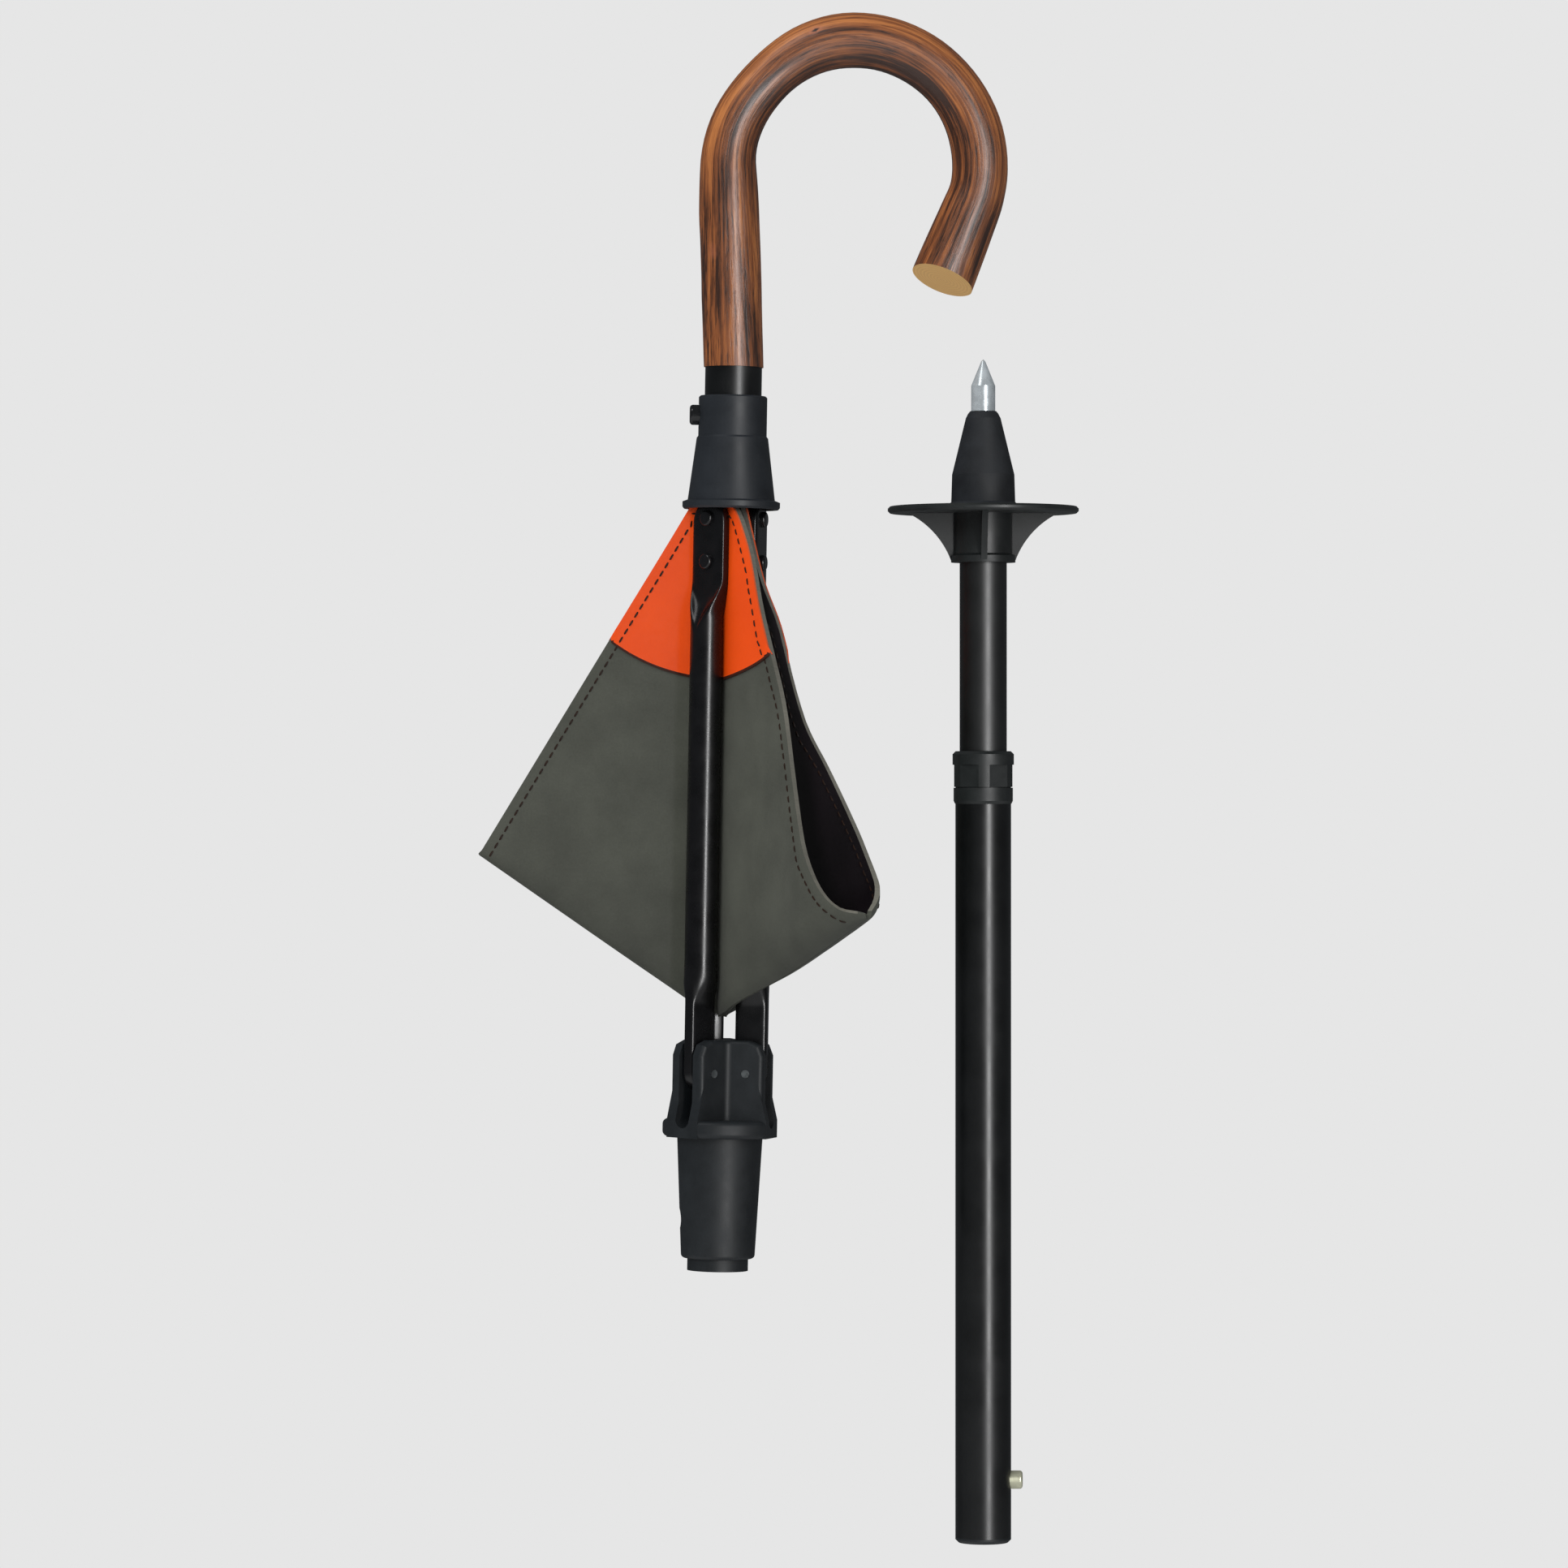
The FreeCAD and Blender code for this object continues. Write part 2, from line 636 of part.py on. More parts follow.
def make_button(label, spring_label, placement, diameter, tube_inside, surface, stand):
    """Snap button that points along local +X, with the bent strip behind it."""
    body = new_body(label, placement)
    flange_radius = f"{diameter} / 2 + button_flange"
    flange_face = f"sqrt(({tube_inside}) ^ 2 - ({flange_radius}) ^ 2) - spring_gap"
    back = f"{flange_face} - button_flange_step"
    flange = circles(body, "flange_circle", [flange_radius], "YZ_Plane",
                     Placement(Vector(0, 0, size(back)), Rotation()))
    pad(body, "flange", flange, "button_flange_step")
    shank = circles(body, "shank_circle", [f"{diameter} / 2"], "YZ_Plane",
                    Placement(Vector(0, 0, size(back)), Rotation()))
    tip = f"{surface} + {stand}"
    peg = pad(body, "shank", shank, f"{tip} - ({back})")
    soften(body, "tip_rounding", peg, f"{diameter} * 0.16",
           lambda e, m: abs(m.x - size(tip)) < 0.01)
    spring = new_body(spring_label, placement)
    rest = f"{back} - spring_gap"
    rear = f"0 - sqrt(({tube_inside}) ^ 2 - (spring_width / 2) ^ 2) + spring_gap"
    strip = outline(spring, "strip_side", [
        (rest, "spring_width / 2"),
        (rest, "0 - spring_width / 2"),
        ("spring_thickness", "0 - spring_length"),
        ("0 - spring_thickness", "0 - spring_length"),
        (rear, "spring_width / 2"),
        (rear + " + spring_thickness", "spring_width / 2"),
        ("0", "0 - spring_length + spring_thickness * 2"),
        (f"{rest} - spring_thickness", "0 - spring_width / 2"),
        (f"{rest} - spring_thickness", "spring_width / 2"),
    ])
    pad(spring, "strip", strip, "spring_width", both_ways=True)


# Places on the leg, measured from its socket end
LEG_TURN = Rotation(Vector(0, 1, 0), -SIZES["leg_lean"])
LEG_RADIUS = "leg_diameter / 2"
INNER_RADIUS = "inner_diameter / 2"
OUTER_INSIDE = "inner_diameter / 2 + telescope_fit"
SPIGOT_RADIUS = "inner_diameter / 2 + telescope_fit + lock_spigot_wall"


def leg_place(along=0.0):
    origin = Vector(size("leg_side"), 0, -size("leg_drop"))
    return Placement(origin + LEG_TURN.multVec(Vector(0, 0, along)), LEG_TURN)


def make_outer_leg():
    """Outer tube, its end plug and the two tiers of the twist lock."""
    tube = new_body("leg_outer_tube", leg_place())
    spin(tube, "wall", [
        (OUTER_INSIDE, "end_cap_rim"),
        (LEG_RADIUS, "end_cap_rim"),
        (LEG_RADIUS, "outer_length"),
        (OUTER_INSIDE, "outer_length"),
    ])
    place = Placement(Vector(), Rotation())
    hole = circles(tube, "button_circle", ["leg_button_diameter / 2 + button_clearance"],
                   "YZ_Plane", place, ("0", "leg_button_place"))
    cut(tube, "button_hole", hole, "leg_diameter", reverse=True)
    cap = new_body("leg_end_cap", leg_place())
    spin(cap, "plug", [
        ("0", "end_cap_rim / 2"),
        (OUTER_INSIDE + " - end_cap_land", "end_cap_rim / 2"),
        (OUTER_INSIDE + " - end_cap_land", "0"),
        (LEG_RADIUS + " - end_cap_bevel", "0"),
        (LEG_RADIUS, "end_cap_rim * 0.6"),
        (LEG_RADIUS, "end_cap_rim"),
        (OUTER_INSIDE, "end_cap_rim"),
        (OUTER_INSIDE, "end_cap_rim + end_cap_depth"),
        ("0", "end_cap_rim + end_cap_depth"),
    ])
    seat = new_body("lock_collar", leg_place())
    top = "outer_length + lock_seat_length"
    spin(seat, "seat", [
        (OUTER_INSIDE + " + running_gap", "outer_length"),
        (LEG_RADIUS + " + telescope_fit", "outer_length"),
        ("lock_seat_diameter / 2", "outer_length + lock_seat_bevel"),
        ("lock_seat_diameter / 2", top),
        (SPIGOT_RADIUS, top),
        (SPIGOT_RADIUS, top + " + lock_spigot"),
        (OUTER_INSIDE + " + running_gap", top + " + lock_spigot"),
    ])


def make_lock_ring():
    """Twist ring round the collar's spigot, with grip flats on its body."""
    body = new_body("lock_ring", leg_place())
    low = "outer_length + lock_seat_length + lock_gap"
    deep = "outer_length + lock_seat_length + lock_spigot + lock_gap"
    high = low + " + lock_ring_length"
    spin(body, "ring", [
        (SPIGOT_RADIUS + " + lock_fit", low),
        ("lock_ring_diameter / 2", low),
        ("lock_ring_diameter / 2", high + " - lock_ring_bevel"),
        ("lock_ring_diameter / 2 - lock_ring_bevel", high),
        (INNER_RADIUS + " + running_gap", high),
        (INNER_RADIUS + " + running_gap", deep),
        (SPIGOT_RADIUS + " + lock_fit", deep),
    ])
    flat = outline(body, "flat_plan", [
        ("lock_ring_diameter / 2 - lock_flat_depth", "0 - lock_ring_diameter / 2"),
        ("lock_ring_diameter", "0 - lock_ring_diameter / 2"),
        ("lock_ring_diameter", "lock_ring_diameter / 2"),
        ("lock_ring_diameter / 2 - lock_flat_depth", "lock_ring_diameter / 2"),
    ], "XY_Plane", Placement(Vector(0, 0, size(low)), Rotation()))
    round_about(body, "flats", cut(body, "flat", flat, "lock_ring_length * 0.62", reverse=True), 6)


def make_inner_leg():
    """Inner tube with the plug on its hidden end."""
    tube = new_body("leg_inner_tube", leg_place())
    spin(tube, "wall", [
        (INNER_RADIUS + " - inner_wall", "inner_start"),
        (INNER_RADIUS, "inner_start"),
        (INNER_RADIUS, "inner_end"),
        (INNER_RADIUS + " - inner_wall", "inner_end"),
    ])
    plug = new_body("lock_plug", leg_place())
    spin(plug, "plug", [
        ("0", "inner_start - plug_head"),
        (INNER_RADIUS + " - small_edge", "inner_start - plug_head"),
        (INNER_RADIUS, "inner_start - plug_head + small_edge"),
        (INNER_RADIUS, "inner_start"),
        (INNER_RADIUS + " - inner_wall", "inner_start"),
        (INNER_RADIUS + " - inner_wall", "inner_start + plug_length"),
        ("0", "inner_start + plug_length"),
    ])


def make_foot():
    """Ribbed ground disc, rubber cone and spike."""
    disc = new_body("ground_disc", leg_place())
    under = "disc_top - disc_thickness"
    spin(disc, "disc", [
        (INNER_RADIUS, "disc_hub_start"),
        ("disc_foot_diameter / 2", "disc_hub_start"),
        ("disc_foot_diameter / 2", "disc_hub_start + disc_foot_height"),
        ("disc_hub_diameter / 2", "disc_hub_start + disc_foot_height + small_edge"),
        ("disc_hub_diameter / 2", under),
        ("disc_diameter / 2 - small_edge", under),
        ("disc_diameter / 2", under + " + small_edge"),
        ("disc_diameter / 2", "disc_top - small_edge"),
        ("disc_diameter / 2 - small_edge", "disc_top"),
        (INNER_RADIUS, "disc_top"),
    ])
    rib = rib_sketch(disc)
    round_about(disc, "ribs", pad(disc, "rib", rib, "rib_thickness", both_ways=True), 4)
    cone = new_body("foot_cone", leg_place())
    spin(cone, "rubber", [
        (INNER_RADIUS, "disc_top"),
        ("cone_foot_diameter / 2 + cone_flare", "disc_top"),
        ("cone_foot_diameter / 2 + cone_flare", "disc_top + cone_flare / 2"),
        ("cone_foot_diameter / 2", "disc_top + cone_flare * 1.5"),
        ("cone_step_diameter / 2", "cone_step"),
        ("cone_nose_diameter / 2", "cone_nose"),
        ("cone_nose_diameter / 2 - cone_nose_round * 0.5", "cone_nose + cone_nose_round"),
        ("cone_nose_diameter / 2 - cone_nose_round * 0.95", "cone_end"),
        ("spike_diameter / 2", "cone_end"),
        ("spike_diameter / 2", "inner_end"),
        (INNER_RADIUS, "inner_end"),
    ])
    spike = new_body("spike", leg_place())
    spin(spike, "steel", [
        ("0", "spike_root"),
        (INNER_RADIUS + " - inner_wall", "spike_root"),
        (INNER_RADIUS + " - inner_wall", "inner_end"),
        ("spike_diameter / 2", "inner_end"),
        ("spike_diameter / 2", "spike_shoulder"),
        ("spike_tip_diameter / 2", "spike_end - spike_tip_diameter / 2"),
        ("0", "spike_end"),
    ])


def rib_sketch(body):
    """Side of one rib: flat under the disc, hollow curve down to the foot flange."""
    sketch = new_sketch(body, "rib_side", "XZ_Plane")
    inner = size("disc_hub_diameter / 2 - fine_edge")
    top = size("disc_top - disc_thickness / 2")
    low = size("disc_hub_start + small_edge")
    reach = size("rib_reach")
    foot = size("disc_foot_diameter / 2")
    ends = [Vector(inner, top, 0), Vector(reach, top, 0), Vector(foot, low, 0), Vector(inner, low, 0)]
    radius = size("rib_hollow")
    middle = (ends[1] + ends[2]) * 0.5
    chord = ends[1] - ends[2]
    normal = Vector(chord.y, -chord.x, 0).normalize()
    centre = middle + normal * math.sqrt(radius ** 2 - (chord.Length / 2) ** 2)
    angles = [math.atan2((p - centre).y, (p - centre).x) for p in (ends[1], ends[2])]
    sketch.addGeometry(Part.LineSegment(ends[0], ends[1]), False)
    circle = Part.Circle(centre, Vector(0, 0, 1), radius)
    sketch.addGeometry(Part.ArcOfCircle(circle, angles[0], angles[1]), False)
    sketch.addGeometry(Part.LineSegment(ends[2], ends[3]), False)
    sketch.addGeometry(Part.LineSegment(ends[3], ends[0]), False)
    for link in ((0, 2, 1, 1), (1, 2, 2, 1), (2, 2, 3, 1), (3, 2, 0, 1)):
        sketch.addConstraint(Sketcher.Constraint("Coincident", *link))
    pin_point(sketch, 0, 1, "disc_hub_diameter / 2 - fine_edge", "disc_top - disc_thickness / 2")
    pin_point(sketch, 0, 2, "rib_reach", "disc_top - disc_thickness / 2")
    pin_point(sketch, 2, 1, "disc_foot_diameter / 2", "disc_hub_start + small_edge")
    pin_point(sketch, 3, 1, "disc_hub_diameter / 2 - fine_edge", "disc_hub_start + small_edge")
    number = sketch.addConstraint(Sketcher.Constraint("Radius", 1, radius))
    sketch.setExpression(f"Constraints[{number}]", "Sizes.rib_hollow")
    return sketch


def gutter_section(middle, turn, low, near, far, half):
    """One upright U of cloth with a near and a far rim, square to the direction of its fold."""
    t = size("cloth_thickness")
    inside = half - t
    slant = math.sqrt(0.5)

    def at(across, up):
        return middle + Rotation(Vector(0, 0, 1), turn).multVec(Vector(0, across, 0)) + Vector(0, 0, up)

    base = low + half
    edges = [
        Part.LineSegment(at(-half, near), at(-half, base)).toShape(),
        Part.Arc(at(-half, base), at(-half * slant, base - half * slant), at(0, low)).toShape(),
        Part.Arc(at(0, low), at(half * slant, base - half * slant), at(half, base)).toShape(),
        Part.LineSegment(at(half, base), at(half, far)).toShape(),
        Part.LineSegment(at(half, far), at(inside, far)).toShape(),
        Part.LineSegment(at(inside, far), at(inside, base)).toShape(),
        Part.Arc(at(inside, base), at(inside * slant, base - inside * slant),
                 at(0, low + t)).toShape(),
        Part.Arc(at(0, low + t), at(-inside * slant, base - inside * slant),
                 at(-inside, base)).toShape(),
        Part.LineSegment(at(-inside, base), at(-inside, near)).toShape(),
        Part.LineSegment(at(-inside, near), at(-half, near)).toShape(),
    ]
    return Part.Wire(edges)


# Stations along a fold from the hub to its outer corner, and how high the rims stand there:
# 0 is the corner's height and 1 the arms' tips.
STATIONS = (0.0, 0.1, 0.2, 0.3, 0.45, 0.62, 0.82, 0.97)
STRAIGHT_RIM = (1.0, 1.0, 0.96, 0.84, 0.66, 0.455, 0.21, 0.03)
NEAR_RIM = (1.0, 1.0, 0.95, 0.82, 0.48, 0.20, 0.05, 0.01)
FAR_RIM = (1.0, 1.0, 0.90, 0.70, 0.48, 0.33, 0.16, 0.06)


def cloth_fold(root_turn, end_turn, corner, half_at, near_rim, far_rim):
    """One of the seat's three folds: a gutter that swings round and sinks to its outer corner."""
    reach = size("fold_reach")
    neck = size("cloth_neck")
    lowest = size(LUG_TOP + " + cloth_lift")
    highest = size("pin_height + arm_length - cloth_drop")
    sections = []
    for share, near, far in zip(STATIONS, near_rim, far_rim):
        out = neck + (reach - neck) * share
        swing = math.exp(-((share / size("fold_swing")) ** 2))
        turn = end_turn + (root_turn - end_turn) * swing
        low = lowest + (corner - lowest) * share
        half = half_at(share)
        least = low + half + size("cloth_thickness") / 2
        rims = [max(least, corner + (highest - corner) * rim) for rim in (near, far)]
        middle = Rotation(Vector(0, 0, 1), turn).multVec(Vector(out, 0, 0))
        sections.append(gutter_section(middle, turn, low, rims[0], rims[1], half))
    return Part.makeLoft(sections, True, True)


def make_seat():
    """The triangular seat hangs folded in three loops between the arms."""
    flat = size("cloth_thickness") + 0.4
    wide = size("cloth_half_gap")
    loop = size("loop_half_gap")

    def pressed(share):
        return wide + (flat - wide) * share

    def open_loop(share):
        return wide + (loop - wide) * math.sin(share * math.pi * 0.62) ** 2

    folds = (
        ("left", pressed, STRAIGHT_RIM, STRAIGHT_RIM),
        ("right", open_loop, NEAR_RIM, FAR_RIM),
        ("back", open_loop, FAR_RIM, FAR_RIM),
    )
    for side, half_at, near_rim, far_rim in folds:
        piece = doc.addObject("Part::Feature", "seat_fold_" + side)
        piece.Label = "seat_fold_" + side
        piece.Shape = cloth_fold(size(f"fold_{side}_root_azimuth"), size(f"fold_{side}_azimuth"),
                                 size(f"fold_{side}_height"), half_at, near_rim, far_rim)
        piece.Placement = Placement()
        PARTS.append(piece)


def build():
    fill_sheet()
    make_hub()
    make_pins()
    make_socket()
    for index in range(3):
        make_arm(index)
        make_rivets(index)
    make_bell()
    make_handle()
    facing_left = Rotation(Vector(0, 0, 1), 180)
    make_button("handle_button", "handle_button_spring",
                Placement(Vector(0, 0, size(HANDLE_BUTTON_HEIGHT)), facing_left),
                "handle_button_diameter", TUBE_RADIUS + " - handle_tube_wall",
                "collar_diameter / 2", "handle_button_stand")
    make_outer_leg()
    make_lock_ring()
    make_inner_leg()
    make_foot()
    spring_up = Rotation(Vector(1, 0, 0), 180)
    leg_button_place = leg_place(size("leg_button_place"))
    leg_button_place.Rotation = leg_button_place.Rotation.multiply(spring_up)
    make_button("leg_button", "leg_button_spring", leg_button_place, "leg_button_diameter",
                OUTER_INSIDE, LEG_RADIUS, "leg_button_stand")
    make_seat()
    doc.recompute()


def check_all():
    """Stop if any object failed or any sub-part has no valid solid."""
    for item in doc.Objects:
        if "Invalid" in item.State or "Error" in item.State:
            raise RuntimeError(f"{item.Label} failed: {item.State}")
    for item in PARTS:
        shape = item.Shape
        if shape.isNull() or not shape.isValid() or not shape.Solids:
            raise RuntimeError(f"{item.Label} has no valid solid")
        print(item.Label, len(shape.Solids), round(shape.Volume, 1))


def write_parts():
    os.makedirs("parts", exist_ok=True)
    for item in PARTS:
        item.Shape.exportStep(f"parts/{item.Label}.step")


build()
check_all()
write_parts()
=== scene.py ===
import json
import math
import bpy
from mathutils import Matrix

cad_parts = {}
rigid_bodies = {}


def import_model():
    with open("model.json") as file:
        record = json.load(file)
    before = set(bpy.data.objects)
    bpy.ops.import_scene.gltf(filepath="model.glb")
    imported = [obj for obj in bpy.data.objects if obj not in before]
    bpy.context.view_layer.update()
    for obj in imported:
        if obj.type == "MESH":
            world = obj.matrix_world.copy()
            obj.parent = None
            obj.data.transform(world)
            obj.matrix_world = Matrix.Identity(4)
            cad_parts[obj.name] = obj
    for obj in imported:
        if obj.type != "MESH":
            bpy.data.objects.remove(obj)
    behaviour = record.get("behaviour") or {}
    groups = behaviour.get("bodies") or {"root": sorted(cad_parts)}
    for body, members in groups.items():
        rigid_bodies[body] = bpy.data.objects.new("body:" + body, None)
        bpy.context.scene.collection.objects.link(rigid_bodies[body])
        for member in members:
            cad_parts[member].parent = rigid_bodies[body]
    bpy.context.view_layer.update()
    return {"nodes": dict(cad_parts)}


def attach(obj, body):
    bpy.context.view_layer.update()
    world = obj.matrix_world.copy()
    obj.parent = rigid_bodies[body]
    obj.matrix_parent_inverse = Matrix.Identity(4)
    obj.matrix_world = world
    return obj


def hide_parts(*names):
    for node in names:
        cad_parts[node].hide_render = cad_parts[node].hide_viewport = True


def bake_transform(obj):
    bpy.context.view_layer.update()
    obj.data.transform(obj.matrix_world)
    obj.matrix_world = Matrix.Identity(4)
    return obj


bl_info = {
    "name": "Shooting stick with sling seat",
    "version": (1, 0, 0),
    "blender": (4, 5, 0),
    "location": "View3D > Sidebar > Shooting stick",
    "description": "Dresses the packed shooting stick: bent wood crook, canvas seat, finishes and studio",
    "category": "Object",
}

import bpy
import bmesh
from mathutils import Matrix, Vector, noise

for left_over in list(bpy.data.objects):
    bpy.data.objects.remove(left_over)

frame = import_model()
NODES = frame["nodes"]
MM = 0.001
BLACK = (0, 0, 0, 1)
WHITE = (1, 1, 1, 1)


def srgb(red, green, blue):
    """A screen colour of 0 to 255 as the linear colour that the nodes take."""
    def line(value):
        share = value / 255
        return share / 12.92 if share <= 0.04045 else ((share + 0.055) / 1.055) ** 2.4
    return (line(red), line(green), line(blue), 1.0)


# Settings


def metres(name, description, default, low, high):
    """A size that a user would change."""
    return bpy.props.FloatProperty(
        name=name, description=description, default=default, min=low, max=high, unit="LENGTH")


def swatch(name, description, default):
    """A colour that a user would change."""
    return bpy.props.FloatVectorProperty(
        name=name, description=description, subtype="COLOR", size=4, default=default, min=0, max=1)


class StickCrookSettings(bpy.types.PropertyGroup):
    base_diameter: metres("Base diameter", "Wood diameter where it meets the metal tube", 0.0239, 0.01, 0.05)
    arch_diameter: metres("Arch diameter", "Wood diameter at the top of the bend", 0.0219, 0.01, 0.05)
    nose_diameter: metres("Nose diameter", "Wood diameter at the cut end", 0.0250, 0.01, 0.05)
    light_wood: swatch("Light grain", "Brightest streaks of the flamed wood", srgb(200, 124, 64))
    mid_wood: swatch("Middle grain", "Main colour of the flamed wood", srgb(142, 80, 39))
    dark_wood: swatch("Dark grain", "Scorched streaks of the flamed wood", srgb(58, 31, 17))
    cut_wood: swatch("Cut end", "Bare wood at the sawn end", srgb(255, 204, 128))


class StickArmSettings(bpy.types.PropertyGroup):
    tube_diameter: metres("Tube diameter", "Round middle of an arm", 0.0128, 0.005, 0.03)
    blade_width: metres("Foot width", "Flattened foot that turns in the hub's slot", 0.0128, 0.005, 0.03)
    blade_thickness: metres("Foot thickness", "Thickness of the flattened foot", 0.0056, 0.002, 0.02)
    plate_width: metres("Plate width", "Flattened top that carries the cloth", 0.0172, 0.005, 0.03)
    plate_thickness: metres("Plate thickness", "Thickness of the flattened top", 0.0046, 0.002, 0.02)


class StickSeatSettings(bpy.types.PropertyGroup):
    thickness: metres("Cloth thickness", "Thickness of the coated canvas", 0.0020, 0.0005, 0.005)
    patch_reach: metres("Patch reach", "How far a patch runs down from its arm's tip", 0.0715, 0.02, 0.1)
    hem_inset: metres("Stitch inset", "Distance of the stitches from the cloth's edge", 0.0040, 0.001, 0.02)
    outside: swatch("Outside", "Grey green of the canvas", srgb(80, 82, 73))
    lining: swatch("Lining", "Dark inner face of the canvas", srgb(20, 13, 18))
    edge: swatch("Cut edge", "Paler rim of the canvas", srgb(118, 116, 106))
    patch: swatch("Corner patch", "Orange of the three corner patches", srgb(255, 82, 4))


class StickStageSettings(bpy.types.PropertyGroup):
    backdrop: swatch("Backdrop", "Plain pale ground of the picture", srgb(230, 230, 230))
    distance: metres("Camera distance", "From the lens to the middle of the stick", 2.576, 0.5, 20)
    roll: bpy.props.FloatProperty(
        name="Camera roll", description="Lean of the picture, as in the photograph",
        default=math.radians(1.03), subtype="ANGLE")
    key_power: bpy.props.FloatProperty(
        name="Key lamp", description="Power of the tall strip on the right",
        default=40.0, min=0, max=1000, unit="POWER")


# Small tools


def deselect():
    """Nothing is selected or in edit mode."""
    if bpy.context.object and bpy.context.object.mode != "OBJECT":
        bpy.ops.object.mode_set(mode="OBJECT")
    bpy.ops.object.select_all(action="DESELECT")


def activate(obj):
    """Only this object is selected and active."""
    deselect()
    obj.select_set(True)
    bpy.context.view_layer.objects.active = obj


def edit(obj):
    """Open the object's mesh in edit mode, with all of it selected."""
    activate(obj)
    bpy.ops.object.mode_set(mode="EDIT")
    bpy.ops.mesh.select_all(action="SELECT")


def leave_edit():
    """Close the edited mesh."""
    bpy.ops.object.mode_set(mode="OBJECT")


def clean_up(threshold):
    """Merge the edited mesh's double vertices, turn its faces outward and leave edit mode."""
    bpy.ops.mesh.select_all(action="SELECT")
    bpy.ops.mesh.remove_doubles(threshold=threshold)
    bpy.ops.mesh.normals_make_consistent(inside=False)
    leave_edit()


def pick(obj, wanted):
    """Select the vertices of the edited mesh that pass a test."""
    bpy.ops.mesh.select_all(action="DESELECT")
    mesh = bmesh.from_edit_mesh(obj.data)
    for vertex in mesh.verts:
        if wanted(vertex):
            vertex.select_set(True)
    mesh.select_flush_mode()
    bmesh.update_edit_mesh(obj.data)


def settle(obj):
    """Put the object's place into its mesh."""
    activate(obj)
    bpy.ops.object.transform_apply(location=True, rotation=True, scale=True)


def smooth(obj, degrees):
    """Shade smooth, except at edges sharper than an angle."""
    activate(obj)
    bpy.ops.object.shade_smooth_by_angle(angle=math.radians(degrees))


def dress(obj, *materials):
    """Give the object its material slots."""
    for material in materials:
        obj.data.materials.append(material)


def half(size):
    """Half of a size in mm."""
    return size / 2 / MM


def mesh_piece(name, points, faces, corners=None):
    """A mesh object from points in metres, with a UV per face corner where given."""
    mesh = bpy.data.meshes.new(name)
    mesh.from_pydata([tuple(p) for p in points], [], faces)
    if corners:
        layer = mesh.uv_layers.new(name="cloth")
        for loop in mesh.loops:
            layer.data[loop.index].uv = corners[loop.vertex_index]
    mesh.update()
    obj = bpy.data.objects.new(name, mesh)
    bpy.context.scene.collection.objects.link(obj)
    return obj


def ease(value):
    """0 to 1 with a soft start and end."""
    value = min(1.0, max(0.0, value))
    return value * value * (3 - 2 * value)


def follow(table, where):
    """Value at a place on straight lines through (place, value) pairs."""
    if where <= table[0][0]:
        return table[0][1]
    for (x0, y0), (x1, y1) in zip(table, table[1:]):
        if where <= x1:
            return y0 + (y1 - y0) * (where - x0) / (x1 - x0)
    return table[-1][1]


def smooth_table(table, where):
    """Curve through (place, value) pairs that keeps between them."""
    places, values = zip(*table)
    if where <= places[0]:
        return values[0]
    if where >= places[-1]:
        return values[-1]
    slopes = [(values[i + 1] - values[i]) / (places[i + 1] - places[i]) for i in range(len(places) - 1)]
    ends = [0.0 if a * b <= 0 else 2 * a * b / (a + b) for a, b in zip(slopes, slopes[1:])]
    ends = [slopes[0]] + ends + [slopes[-1]]
    i = next(i for i in range(len(slopes)) if where <= places[i + 1])
    wide = places[i + 1] - places[i]
    t = (where - places[i]) / wide
    return (values[i] * (1 + 2 * t) * (1 - t) ** 2 + ends[i] * wide * t * (1 - t) ** 2
            + values[i + 1] * t * t * (3 - 2 * t) + ends[i + 1] * wide * t * t * (t - 1))


def compass(degrees):
    """The level directions outward and sideways at an azimuth."""
    turn = math.radians(degrees)
    return Vector((math.cos(turn), math.sin(turn), 0)), Vector((-math.sin(turn), math.cos(turn), 0))


def evenly(start, length, count):
    """Places at even steps over a length, both ends included."""
    return [start + length * i / count for i in range(count + 1)]


def turning_point(is_low, passes=30):
    """The two sides of the place between 0 and 1 where a test stops being true."""
    low, high = 0.0, 1.0
    for _ in range(passes):
        middle = (low + high) / 2
        if is_low(middle):
            low = middle
        else:
            high = middle
    return low, high


# Node groups


class Tree:
    """Adds shader nodes. A socket given as a value is linked, any other value is set."""

    def __init__(self, tree):
        self.nodes, self.links = tree.nodes, tree.links

    def fill(self, node, values):
        for label, value in values.items():
            if isinstance(value, bpy.types.NodeSocket):
                self.links.new(value, node.inputs[label])
            else:
                node.inputs[label].default_value = value
        return node

    def add(self, kind, values=None, **settings):
        node = self.nodes.new(kind)
        for name, value in settings.items():
            setattr(node, name, value)
        return self.fill(node, values or {})

    def math(self, operation, *values, clamp=False):
        node = self.add("ShaderNodeMath", dict(enumerate(values)), operation=operation, use_clamp=clamp)
        return node.outputs[0]

    def mix(self, share, first, second):
        """A colour between two. The mix node's colour sockets have the numbers 6, 7 and, going out, 2."""
        return self.add("ShaderNodeMix", {0: share, 6: first, 7: second}, data_type="RGBA").outputs[2]

    def range(self, value, low, high, to_low=0, to_high=1):
        return self.add("ShaderNodeMapRange", {
            "Value": value, "From Min": low, "From Max": high, "To Min": to_low, "To Max": to_high,
        }).outputs["Result"]

    def noise(self, vector, scale, detail, rough=0.5):
        return self.add("ShaderNodeTexNoise", {
            "Vector": vector, "Scale": scale, "Detail": detail, "Roughness": rough}).outputs["Fac"]

    def attribute(self, name):
        return self.add("ShaderNodeAttribute", attribute_name=name).outputs

    def bump(self, height, strength, distance):
        return self.add("ShaderNodeBump", {
            "Height": height, "Strength": strength, "Distance": distance}).outputs["Normal"]


